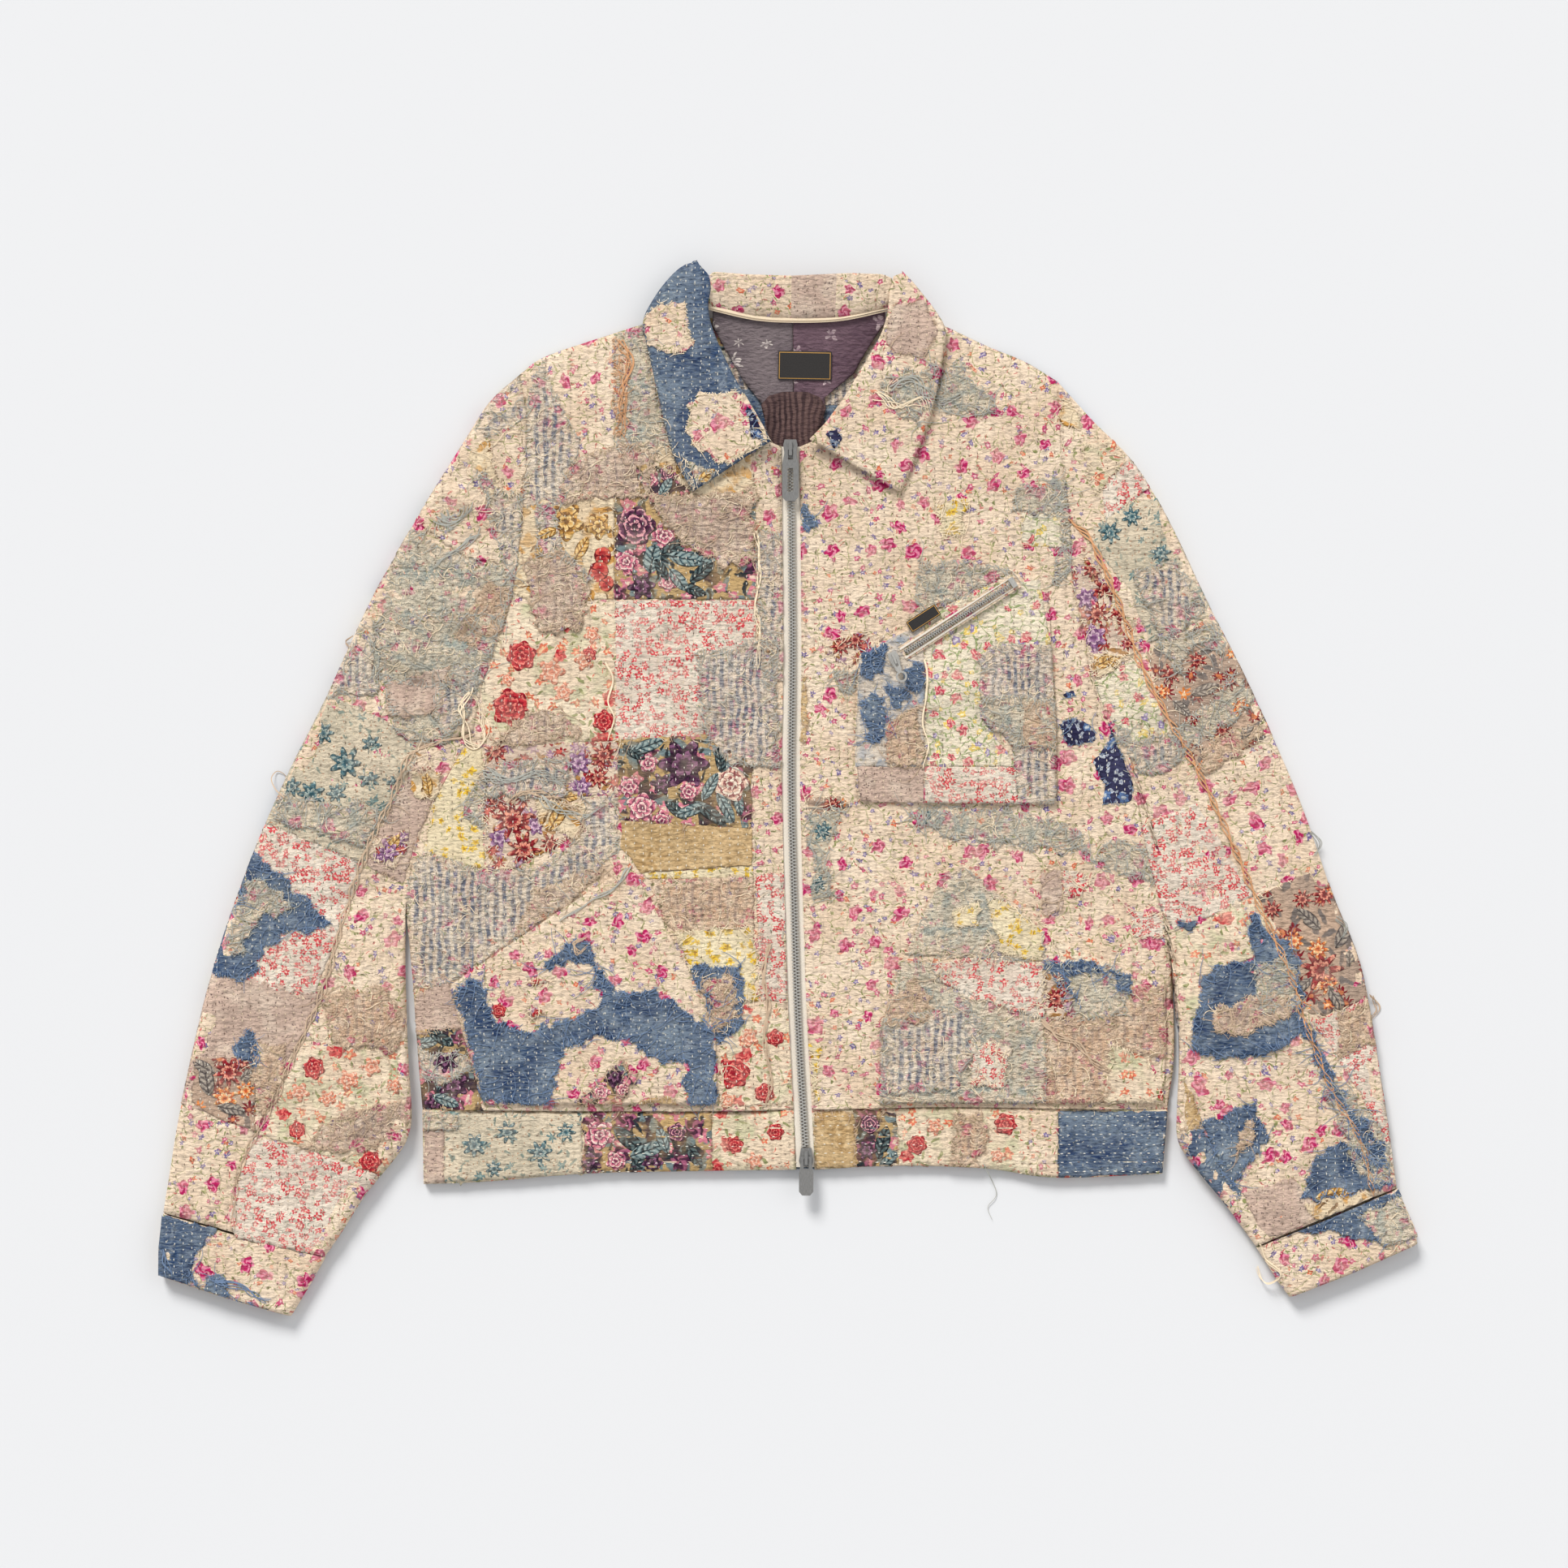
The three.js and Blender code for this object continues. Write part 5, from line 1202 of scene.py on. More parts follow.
patches["cuffRight"] = [
    ("indigo", 1, 1, -481, -324, -437, -335, -452, -353, -458, -383, -483, -371),
    ("indigo", 2, 1.8, -462, -369, -449, -379, -432, -371, -428, -388, -396, -399, -440, -390),
]
patches["sleeveLeft"] = [
    ("goldLeaf", 1, 1, 208, 300, 222, 290, 224, 276, 208, 280),
    ("roseChintz", 1, 1, 225, 263, 250, 267, 257, 249, 234, 223),
    ("redBlossom", 1, 0.5, 240, 228, 258, 256, 282, 235, 266, 223, 242, 205),
    ("tealBlotch", 1, 0.5, 233, 200, 258, 218, 290, 224, 330, 140, 300, 121, 276, 112, 260, 152, 233, 184),
    ("stripeGauze", 2, 1.6, 265, 166, 293, 175, 318, 139, 307, 125, 286, 116, 268, 149),
    ("folk", 1, 0.6, 273, 105, 330, 132, 375, 45, 315, 11, 285, 64),
    ("greenGauze", 2, 2, 280, 112, 303, 122, 332, 128, 331, 104, 307, 114, 300, 86, 293, 97),
    ("greenGauze", 2, 2, 291, 47, 324, 65, 338, 90, 355, 70, 338, 52, 303, 30),
    ("taupe", 2, 1.4, 315, 31, 338, 46, 372, 51, 336, 22, 317, 11),
    ("crimsonLilac", 1, 0.8, 215, 161, 225, 185, 251, 144, 269, 107, 233, 84, 228, 114),
    ("goldLeaf", 2, 1, 233, 103, 263, 104, 242, 88, 235, 85),
    ("springPosy", 1, 0.5, 233, 83, 269, 102, 290, 43, 263, 34, 246, 53),
    ("stripeGauze", 2, 1.6, 251, 48, 267, 34, 291, 43, 304, 29, 291, 13, 268, 11),
    ("redBlossom", 1, 0.4, 270, -28, 312, -10, 355, -81, 296, -109, 275, -79),
    ("roseChintz", 1, 0.5, 296, -109, 317, -102, 356, -81, 386, -122, 354, -129, 317, -143, 309, -193,
     296, -190),
    ("indigo", 2, 2, 317, -143, 354, -128, 354, -97, 386, -122, 392, -170, 424, -237, 455, -276, 450, -285,
     406, -216, 393, -184, 369, -201, 319, -204, 307, -199),
    ("indigo", 2, 1, 297, -101, 311, -102, 308, -107, 298, -105),
    ("greenGauze", 3, 2.2, 354, -140, 377, -126, 387, -138, 386, -166, 363, -170),
    ("greige", 3, 2, 326, -170, 351, -161, 381, -157, 386, -170, 345, -189, 326, -182),
    ("folk", 1, 0.6, 356, -81, 404, -61, 440, -99, 448, -157, 409, -173, 397, -171, 363, -101),
    ("redBlossom", 1, 0.5, 400, -177, 448, -158, 465, -260, 465, -296, 436, -232),
    ("taupe", 2, 2, 420, -170, 450, -162, 452, -195, 418, -203),
    ("greenGauze", 2, 2, 411, -225, 432, -232, 457, -271, 460, -301, 434, -292),
    ("indigo", 2, 1.5, 317, -255, 356, -239, 364, -267, 338, -304, 331, -290),
    ("greige", 3, 1.6, 345, -262, 354, -253, 354, -268, 340, -281),
    ("mustard", 1, 1, 299, -225, 301, -223, 315, -248, 312, -258, 299, -264),
    ("indigo", 1, 1, 299, -263, 315, -257, 346, -308, 335, -319, 315, -296),
    ("indigo", 2, 1.5, 404, -280, 422, -271, 455, -285, 460, -301, 418, -311, 390, -313),
    ("dustyPink", 1, 0.5, 346, -308, 386, -296, 401, -317, 445, -308, 377, -340, 363, -343),
    ("goldLeaf", 2, 1, 393, -317, 443, -305, 445, -312, 406, -329),
]
patches["cuffLeft"] = [
    ("indigo", 2, 1.2, 365, -342, 466, -306, 469, -311, 436, -325, 456, -348, 413, -336),
    ("greenGauze", 2, 0.8, 434, -325, 466, -309, 481, -342, 455, -350),
]
patches["collarRight"] = [
    ("roseCalico", 1, 1, -111, 357, -104, 368, -79, 371, -72, 338, -86, 330, -108, 339),
    ("roseCalico", 1, 1.2, -79, 293, -67, 301, -34, 302, -19, 289, -17, 265, -46, 247, -74, 263),
    ("greenGauze", 1, 1.2, -75, 249, -54, 242, -72, 230),
    ("navyDot", 2, 0.6, -32, 293, -24, 284, -19, 266, -29, 268),
]
patches["collarLeft"] = [
    ("dustyPink", 1, 0.8, 80, 369, 103, 373, 114, 350, 103, 330, 80, 332, 74, 345),
    ("greenGauze", 1, 2, 75, 315, 113, 323, 100, 277, 71, 298),
    ("navyDot", 1, 0.8, 29, 270, 37, 274, 41, 266, 35, 258),
]
patchNodes = {
    "frontRight": ["patch_bouquet_high", "patch_bouquet_low", "patch_gold_leaf", "patch_chintz"],
    "frontLeft": ["patch_flap"], "pocketRight": ["patch_pocket_indigo"],
    "pocketLeft": ["patch_pocket_taupe"],
    "sleeveRight": ["patch_sleeve_grey", "patch_sleeve_rose"],
    "sleeveLeft": ["patch_sleeve_folk", "patch_sleeve_indigo", "patch_sleeve_blossom"],
}
frayed = []     # (edge points, fabric, raggedness, panel) for the loose threads later


def tornLine(outline, rough, seed):
    loop = respace([Vector(p) for p in outline] + [Vector(outline[0])], 1.8)[:-1]
    out = []
    for k, p in enumerate(loop):
        along = (loop[(k + 1) % len(loop)] - loop[k - 1]).normalized()
        aside = Vector((along.y, -along.x))
        push = 2.6 * noise.noise((p.x / 12, p.y / 12, seed)) + 2.4 * noise.noise((p.x / 5, p.y / 5, seed
            + 5))
        out.append(p + aside * push * rough)
    return out


def kept(panel, loop):
    # points that fall off the panel move to its outline
    border = respace(outlines[panel] + outlines[panel][:1], 0.8)
    tree = KDTree(len(border))
    for k, p in enumerate(border):
        tree.insert((p.x, p.y, 0), k)
    tree.balance()
    out = []
    for p in loop:
        q = p if inside(panel, p.x, p.y) else Vector(tree.find((p.x, p.y, 0))[0][:2])
        if not out or (q - out[-1]).length > 0.5:
            out.append(q)
    while len(out) > 3 and (out[0] - out[-1]).length < 0.5:
        out.pop()
    return out


patchwork = dict(step=3.2, wall=0.55, lift=0.35, layer=0.55, rim=9, curl=5)


def sewPatches():
    layers = {}
    for number, (panel, sewn) in enumerate(patches.items()):
        top = panelTops[panel]
        fabrics = sorted({patch[0] for patch in sewn})
        bm = bmesh.new()
        wear = bm.verts.layers.float.new("wear")
        for k, (fabric, layer, rough, *flat) in enumerate(sewn):
            outline = list(zip(flat[::2], flat[1::2]))
            loop = kept(panel, tornLine(outline, rough, number * 40 + k))
            faces = cutSheet(bm, loop, patchwork["step"])
            rim = nearness([tuple(p) for p in loop] + [tuple(loop[0])])
            for v in {v for f in faces for v in f.verts}:
                x, y = v.co.x, v.co.y
                near = rim(x, y)
                v[wear] = max(0, 1 - near / patchwork["rim"])
                lift = patchwork["lift"] + patchwork["layer"] * (layer - 1)
                curl = max(0, 1 - near / patchwork["curl"]) * (0.1 * rough + 0.55 * rough
                    * max(0, noise.noise((x / 7, y / 7, k))))
                ripple = 0.35 * noise.noise((x / 6, y / 6, k + 30)) * (0.4 + 0.4 * rough)
                v.co.z = top(x, y) + lift + curl + ripple * ease(near / 3) - 0.3 * ease(1 - near
                    / 1.2) * (rough < 0.7)
            for f in faces:
                f.material_index = fabrics.index(fabric)
            frayed.append((loop, fabric, rough, panel))
        piece = addPiece(panel + "_patches", bm, fabrics)
        wall(piece, patchwork["wall"])
        layers[panel] = piece
        if panel in patchNodes:
            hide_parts(*patchNodes[panel])
    return layers


patchPieces = sewPatches()
print("patches sewn:", sum(len(p) for p in patches.values()))

# a ray from above finds the topmost cloth and what it is
surfaces = [piece for piece in list(body.values()) + list(patchPieces.values()) if not piece.name.startswith(
    ("back", "hem_back"))]


def buildSky():
    points, faces, owners = [], [], []
    for piece in surfaces:
        start = len(points)
        points += [v.co.copy() / mm for v in piece.data.vertices]
        for f in piece.data.polygons:
            faces.append([start + k for k in f.vertices])
            owners.append(piece.data.materials[f.material_index].name)
    return BVHTree.FromPolygons(points, faces), owners


sky, owners = buildSky()


def topAt(x, y):
    place, normal, index, _ = sky.ray_cast(Vector((x, y, 60)), Vector((0, 0, -1)))
    if place is None:
        return None
    return place, (normal if normal.z > 0 else -normal), owners[index]


# large prints: kind, x, y, radius; and leaves: kind, x, y, length, width, direction in degrees
blooms = [
    ("plumRose", -117, 201, 16), ("pinkRose", -95, 194, 10), ("pinkRose", -124, 174, 10),
    ("plumBloom", -112, 155, 11), ("pinkRose", -92, 158, 8), ("pinkRose", -106, 237, 8),
    ("plumRose", -92, 241, 7), ("goldBloom", -170, 204, 15), ("goldBloom", -145, 201, 11),
    ("cherry", -142, 178, 7), ("cherry", -145, 166, 8), ("cherry", -139, 157, 6), ("redRose", -204, 102, 12),
    ("redRose", -212, 62, 15), ("redRose", -141, 52, 9), ("coralBloom", -181, 90, 11),
    ("coralBloom", -156, 98, 8), ("coralBloom", -172, 74, 8), ("coralBloom", -150, 118, 7),
    ("redRose", -152, 103, 6), ("coralBloom", -215, 84, 6), ("crimsonBurst", -224, 29, 10),
    ("lilacBloom", -160, 20, 10), ("crimsonBurst", -141, 26, 11), ("crimsonBurst", -145, 9, 9),
    ("lilacBloom", -158, 2, 8), ("crimsonBurst", -211, -23, 17), ("crimsonBurst", -202, -46, 14),
    ("lilacBloom", -221, -37, 9), ("crimsonBurst", -224, -8, 9), ("lilacBloom", -193, -28, 8),
    ("crimsonBurst", -182, -42, 8), ("plumBloom", -80, 19, 20), ("plumBloom", -97, 4, 9),
    ("pinkRose", -112, -14, 12), ("pinkRose", -122, 2, 9), ("pinkRose", -97, -24, 8),
    ("pinkRose", -107, 20, 8), ("creamRose", -44, 4, 14), ("pinkRose", -76, -2, 8),
    ("plumBloom", -133, -219, 9), ("pinkRose", -143, -231, 8), ("pinkRose", -126, -230, 7),
    ("redRose", -221, -169, 6), ("redRose", -191, -147, 6), ("redRose", -190, -172, 6),
    ("pinkRose", -144, -264, 12), ("plumBloom", -152, -283, 11), ("plumRose", -85, -262, 8),
    ("plumBloom", -104, -286, 9), ("pinkRose", -132, -284, 8), ("plumRose", 62, -256, 8),
    ("plumBloom", 60, -276, 8), ("redRose", 98, -272, 8), ("redRose", 166, -256, 9),
    ("coralBloom", 112, -258, 7), ("coralBloom", 160, -280, 6), ("redRose", -41, -272, 7),
    ("redRose", -10, -262, 7), ("coralBloom", -26, -284, 7), ("redRose", -42, -217, 13),
    ("coralBloom", -30, -190, 8), ("redRose", -18, -232, 8), ("coralBloom", -46, -238, 7),
    ("redRose", -10, -190, 7), ("plumBloom", -262, -206, 11), ("plumBloom", -256, -226, 12),
    ("pinkRose", -275, -222, 8), ("plumBloom", -270, -240, 9), ("crimsonBurst", -427, -216, 13),
    ("orangeBloom", -430, -236, 10), ("orangeBloom", -414, -230, 8), ("crimsonBurst", -417, -208, 9),
    ("redRose", -362, -213, 9), ("coralBloom", -373, -231, 8), ("coralBloom", -336, -222, 9),
    ("redRose", -375, -260, 7), ("redRose", -319, -284, 9), ("coralBloom", -318, -212, 8),
    ("coralBloom", -300, -226, 7), ("coralBloom", -352, -236, 7), ("tealBloom", -355, 43, 9),
    ("tealBloom", -338, 20, 13), ("tealBloom", -320, 8, 9), ("tealBloom", -364, -4, 11),
    ("tealBloom", -379, 2, 8), ("tealBloom", -318, 34, 8), ("tealBloom", -345, -3, 8),
    ("tealBloom", -304, 6, 7), ("lilacBloom", -305, -48, 8), ("lilacBloom", -312, -54, 7),
    ("lilacBloom", -294, -38, 7), ("crimsonBurst", 233, 168, 10), ("crimsonBurst", 243, 152, 12),
    ("crimsonBurst", 236, 134, 10), ("lilacBloom", 228, 146, 9), ("lilacBloom", 233, 116, 11),
    ("crimsonBurst", 253, 130, 9), ("crimsonBurst", 259, 111, 6), ("crimsonBurst", 292, 88, 9),
    ("orangeBloom", 284, 74, 7), ("crimsonBurst", 336, 84, 10), ("crimsonBurst", 331, 45, 8),
    ("crimsonBurst", 312, 98, 8), ("orangeBloom", 345, 62, 8), ("crimsonBurst", 308, 54, 7),
    ("crimsonBurst", 406, -138, 17), ("orangeBloom", 404, -122, 9), ("orangeBloom", 412, -150, 8),
    ("crimsonBurst", 409, -80, 10), ("crimsonBurst", 369, -92, 8), ("crimsonBurst", 392, -84, 8),
    ("orangeBloom", 386, -116, 8), ("tealBloom", 277, 196, 9), ("tealBloom", 246, 196, 9),
    ("tealBloom", 284, 180, 8), ("tealBloom", 262, 208, 8), ("crimsonBurst", 40, 110, 9),
    ("crimsonBurst", 51, 114, 8), ("crimsonBurst", 34, -12, 7), ("crimsonBurst", 204, -160, 10),
    ("crimsonBurst", 207, -146, 7), ("tealBloom", -240, -272, 10), ("tealBloom", -215, -262, 9),
    ("tealBloom", -190, -278, 10), ("tealBloom", -170, -262, 8), ("tealBloom", -225, -290, 7),
    ("tealBloom", 26, -32, 8), ("tealBloom", 22, -72, 8), ("tealBloom", 107, -22, 8),
]
leaves = [
    ("slateLeaf", -104, 176, 22, 15, 80), ("darkLeaf", -88, 184, 26, 11, 30),
    ("slateLeaf", -78, 176, 28, 12, -10), ("darkLeaf", -66, 166, 24, 10, 40),
    ("slateLeaf", -84, 160, 22, 10, -50), ("darkLeaf", -97, 168, 20, 8, 120),
    ("slateLeaf", -62, 176, 22, 9, 20), ("darkLeaf", -72, 152, 20, 8, -20),
    ("slateLeaf", -94, 230, 18, 8, 60), ("ochreLeaf", -184, 196, 18, 8, 200),
    ("ochreLeaf", -158, 184, 20, 9, 60), ("ochreLeaf", -190, 180, 14, 6, 100),
    ("ochreLeaf", -60, 240, 20, 9, 30), ("ochreLeaf", -84, 244, 16, 7, 120),
    ("slateLeaf", -108, 33, 28, 10, 20), ("darkLeaf", -118, 28, 20, 8, -30),
    ("slateLeaf", -60, 2, 24, 9, 60), ("slateLeaf", -74, -16, 26, 9, 200),
    ("darkLeaf", -60, -18, 30, 10, -35), ("slateLeaf", -48, -14, 26, 9, -60),
    ("darkLeaf", -86, -16, 22, 8, 140), ("slateLeaf", -38, -10, 20, 8, -80),
    ("darkLeaf", -52, 22, 22, 8, 100), ("ochreLeaf", -176, -20, 26, 11, 60),
    ("ochreLeaf", -168, -6, 18, 8, 10), ("darkLeaf", -122, -268, 30, 12, -40),
    ("slateLeaf", -108, -276, 28, 12, 20), ("darkLeaf", -116, -288, 22, 9, 70),
    ("slateLeaf", -96, -268, 22, 9, 110), ("darkLeaf", -72, -280, 22, 9, -60),
    ("darkLeaf", 72, -270, 26, 11, 75), ("slateLeaf", 76, -284, 18, 8, 40),
    ("slateLeaf", -278, -194, 22, 9, 10), ("darkLeaf", -266, -190, 24, 9, -30),
    ("slateLeaf", -262, -238, 22, 9, -20), ("darkLeaf", -282, -234, 18, 8, 70),
    ("ashLeaf", -444, -222, 24, 12, 100), ("ashLeaf", -446, -212, 20, 9, 150),
    ("ashLeaf", -425, -244, 22, 9, -10), ("ashLeaf", -410, -216, 18, 8, 30),
    ("ochreLeaf", 244, 99, 26, 10, 30), ("ochreLeaf", 252, 96, 22, 9, -20),
    ("ashLeaf", 397, -99, 24, 10, 140), ("ashLeaf", 424, -110, 26, 11, 60),
    ("ashLeaf", 418, -160, 24, 9, -60), ("ashLeaf", 428, -134, 22, 9, 90),
    ("ashLeaf", 392, -150, 20, 8, 220), ("ashLeaf", 318, 76, 22, 9, 20), ("ashLeaf", 300, 62, 18, 8, -40),
    ("ashLeaf", 350, 46, 18, 8, 60), ("ochreLeaf", 414, -309, 24, 9, 15),
    ("ochreLeaf", -302, -42, 20, 8, 50), ("ochreLeaf", -276, 4, 18, 8, 100),
]


def printOnCloth():
    bm = bmesh.new()
    chart = bm.loops.layers.uv.new("print")
    kinds = list(bloomKinds) + list(leafKinds)
    luck = random.Random(31)
    for number, (kind, x, y, length, *rest) in enumerate(blooms + leaves):
        hit = topAt(x, y)
        if not hit:
            continue
        host = hit[2]
        if rest:
            width, turn = rest[0] / 2, math.radians(rest[1])
            shape = [Vector((math.cos(a) * length / 2, math.sin(a) * width * abs(math.sin(a)) ** 0.4))
                     for a in (k * math.tau / 40 for k in range(40))]
            span = (length / 2, width)
        else:
            recipe, turn = bloomKinds[kind], luck.random() * math.tau
            shape = [Vector((math.cos(a), math.sin(a))) * length * (
                1 - recipe["depth"] * (0.5 - 0.5 * math.cos(recipe["petals"] * a))
                + 0.12 * noise.noise((math.cos(a) * 2, math.sin(a) * 2, number)))
                for a in (k * math.tau / 60 for k in range(60))]
            span = (length, length)
        cos, sin = math.cos(turn), math.sin(turn)
        outline = [Vector((x + p.x * cos - p.y * sin, y + p.x * sin + p.y * cos)) for p in shape]
        faces = cutSheet(bm, outline, 3.3)
        lost = []
        for f in faces:
            under = topAt(*f.calc_center_median().xy)
            if not under or under[2] != host or under[1].z < 0.3:
                lost.append(f)
                continue
            f.material_index = kinds.index(kind)
            for loop in f.loops:
                dx, dy = loop.vert.co.x - x, loop.vert.co.y - y
                loop[chart].uv = (0.5 + 0.5 * (dx * cos + dy * sin) / span[0], 0.5 + 0.5
                    * (dy * cos - dx * sin) / span[1])
        bmesh.ops.delete(bm, geom=lost, context="FACES")
        lift = 0.1 + 0.004 * number % 0.12
        for v in {v for f in faces if f.is_valid for v in f.verts}:
            hit = topAt(v.co.x, v.co.y)
            v.co.z = (hit[0].z if hit else 0) + lift + 0.06
    bmesh.ops.delete(bm, geom=[v for v in bm.verts if not v.link_faces], context="VERTS")
    piece = wall(addPiece("printed_blooms", bm, kinds), 0.12)
    surfaces.append(piece)
    return piece


printOnCloth()
sky, owners = buildSky()
print("large prints placed:", len(blooms) + len(leaves))


def joinedShapes(name, places, faces, fabric):
    mesh = bpy.data.meshes.new(name)
    mesh.from_pydata([(x * mm, y * mm, z * mm) for x, y, z in places], [], faces)
    mesh.update()
    mesh.materials.append(materials[fabric])
    piece = bpy.data.objects.new(name, mesh)
    scene.collection.objects.link(piece)
    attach(piece, "jacket")
    return piece


stitching = dict(row=6.6, step=5.6, long=2.6, hemRow=7, hemStep=6.2, hemLong=3.0)


def placeStitches():
    luck = random.Random(11)
    sets = {name: ([], []) for name in ("threadWhite", "threadCream", "threadBrown")}

    def stitch(x, y, dx, dy, length):
        hit = topAt(x, y)
        if not hit:
            return
        place, up, fabric = hit
        if up.z < 0.55 or fabric in liningCloths:
            return
        if fabric in darkCloths or fabric in bloomKinds or fabric in leafKinds:
            thread = "threadWhite"
        else:
            thread = luck.choice(("threadBrown", "threadCream", "threadCream"))
        along = Vector((dx, dy, 0))
        along = (along - up * along.dot(up)).normalized()
        aside = up.cross(along)
        points, faces = sets[thread]
        start = len(points)
        middle = place + up * 0.12
        points += [middle - along * length / 2 - up * 0.25, middle + along * length / 2 - up * 0.25,
                   middle + aside * 0.36, middle - aside * 0.36, middle + up * 0.42]
        faces += [(start, start + 2, start + 4), (start + 2, start + 1, start + 4),
                  (start + 1, start + 3, start + 4), (start + 3, start, start + 4),
                  (start, start + 3, start + 2), (start + 3, start + 1, start + 2)]

    row = -74
    while row < 74:
        y = -410 + luck.random() * 6
        base = row * stitching["row"]
        while y < 405:
            y += stitching["step"] + luck.uniform(-0.7, 0.7)
            x = base - 1.3 * math.sin(y / 37) + luck.uniform(-0.25, 0.25)
            lowRight = x > 14 and -246 < y < -14
            hem = -305 < y < -245 and -290 < x < 292
            if not lowRight and not hem and luck.random() < 0.93:
                stitch(x, y, 0.06 * luck.uniform(-1, 1), 1, stitching["long"] + luck.uniform(-0.5, 0.5))
        row += 1
    for y0 in range(-300, -14, stitching["hemRow"]):
        x = -286 + luck.random() * 5
        while x < 290:
            x += stitching["hemStep"] + luck.uniform(-0.7, 0.7)
            y = y0 + 1.2 * math.sin(x / 31) + luck.uniform(-0.3, 0.3)
            if (y < -247 or x > 14) and luck.random() < 0.94:
                stitch(x, y, 1, 0.06 * luck.uniform(-1, 1), stitching["hemLong"] + luck.uniform(-0.6, 0.6))
    count = 0
    for thread, (points, faces) in sets.items():
        joinedShapes("stitches_" + thread, points, faces, thread)
        count += len(faces) // 6
    print("running stitches:", count)


placeStitches()


def threadsMesh(name, paths, radius, fabric):
    places, faces = [], []
    for path in paths:
        start = len(places)
        for k, p in enumerate(path):
            along = (path[min(k + 1, len(path) - 1)] - path[max(k - 1, 0)]).normalized()
            aside = along.cross(Vector((0, 0, 1)))
            aside = aside.normalized() if aside.length > 0.01 else Vector((1, 0, 0))
            up = aside.cross(along)
            thin = radius * (1 - 0.6 * (k / (len(path) - 1)) ** 2)
            for turn in (0.5, 2.594, 4.689):
                places.append(p + aside * math.cos(turn) * thin + up * math.sin(turn) * thin)
        for k in range(len(path) - 1):
            for a in range(3):
                b = (a + 1) % 3
                low, high = start + 3 * k, start + 3 * k + 3
                faces.append((low + a, low + b, high + b, high + a))
        faces.append((start + 2, start + 1, start))
        end = start + 3 * (len(path) - 1)
        faces.append((end, end + 1, end + 2))
    return joinedShapes(name, places, faces, fabric)


threadTones = {"indigo": "threadBlue", "navyDot": "threadBlue", "stripeGauze": "threadGrey",
               "stripeFray": "threadGrey", "greenGauze": "threadGrey", "greige": "threadTaupe",
               "taupe": "threadTaupe", "bouquet": "threadTaupe", "mustard": "threadTaupe",
               "orangeFray": "cordOrange", "dustyPink": "threadTaupe", "tealBlotch": "threadGrey"}


def frayEdges():
    luck = random.Random(23)
    tufts = {}
    for loop, fabric, rough, panel in frayed:
        tone = threadTones.get(fabric, "threadCream")
        share = 0.34 * rough if rough > 0.5 else 0.05
        for k, p in enumerate(loop):
            if luck.random() > share * 1.6 or not inside(panel, p.x, p.y):
                continue
            along = (loop[(k + 1) % len(loop)] - loop[k - 1]).normalized()
            heading = math.atan2(-along.x, along.y) + luck.uniform(-1.1, 1.1)
            length = luck.uniform(3, 7) * (0.6 + 0.4 * rough)
            if luck.random() < 0.12 * rough:
                length *= 3
            steps = 4 if length < 6 else 5 if length < 12 else 9
            bend, spot = luck.uniform(-1.6, 1.6) / steps, Vector(p) - Vector((along.y, -along.x)) * 1.0
            path = []
            for step in range(steps):
                hit = topAt(spot.x, spot.y)
                if not hit:
                    break
                lift = 0.25 + luck.random() * 0.35 + 0.5 * math.sin(math.pi * step
                    / (steps - 1)) * luck.random()
                path.append(Vector((spot.x, spot.y, hit[0].z + lift)))
                heading += bend + luck.uniform(-0.3, 0.3)
                spot = spot + Vector((math.cos(heading), math.sin(heading))) * length / (steps - 1)
            if len(path) > 2:
                tufts.setdefault(tone, []).append(path)
    # worn gauze also throws loose curls from its middle
    for loop, fabric, rough, panel in frayed:
        if not cloths[fabric].get("gauzy"):
            continue
        xs, ys = [p.x for p in loop], [p.y for p in loop]
        for _ in range(int((max(xs) - min(xs)) * (max(ys) - min(ys)) / 105)):
            spot = Vector((luck.uniform(min(xs), max(xs)), luck.uniform(min(ys), max(ys))))
            hit = topAt(spot.x, spot.y)
            if not hit or hit[2] != fabric:
                continue
            tone = threadTones.get(fabric, "threadCream") if luck.random() < 0.6 else "threadCream"
            heading, bend, path = luck.uniform(0, math.tau), luck.uniform(-0.5, 0.5), []
            for step in range(luck.choice((6, 8, 11))):
                hit = topAt(spot.x, spot.y)
                if not hit:
                    break
                path.append(Vector((spot.x, spot.y, hit[0].z + 0.25 + 0.5 * luck.random())))
                heading += bend + luck.uniform(-0.45, 0.45)
                spot = spot + Vector((math.cos(heading), math.sin(heading))) * 1.7
            if len(path) > 3:
                tufts.setdefault(tone, []).append(path)
    for tone, paths in tufts.items():
        threadsMesh("frays_" + tone, paths, 0.3, tone)
    print("frayed threads:", sum(len(p) for p in tufts.values()))


frayEdges()


def seamCords():
    luck = random.Random(5)
    for name, seams, tone in (("seam_cord_right", rightSeam, "threadTaupe"),
            ("seam_cord_left", leftSeam, "cordOrange")):
        paths = []
        for strand, aside in enumerate((-1.3, 0, 1.3)):
            path = []
            for k, p in enumerate(smoothLine(seams, 3)):
                spot = p + Vector((aside + 1.2 * math.sin(k * 0.9 + strand * 2), 0.8
                    * math.cos(k * 0.7 + strand)))
                hit = topAt(spot.x, spot.y)
                if hit:
                    path.append(Vector((spot.x, spot.y, hit[0].z + 0.5 + 0.4
                        * math.cos(k * 0.9 + strand * 2))))
            paths.append(path)
        threadsMesh(name, paths, 0.6, tone)


seamCords()

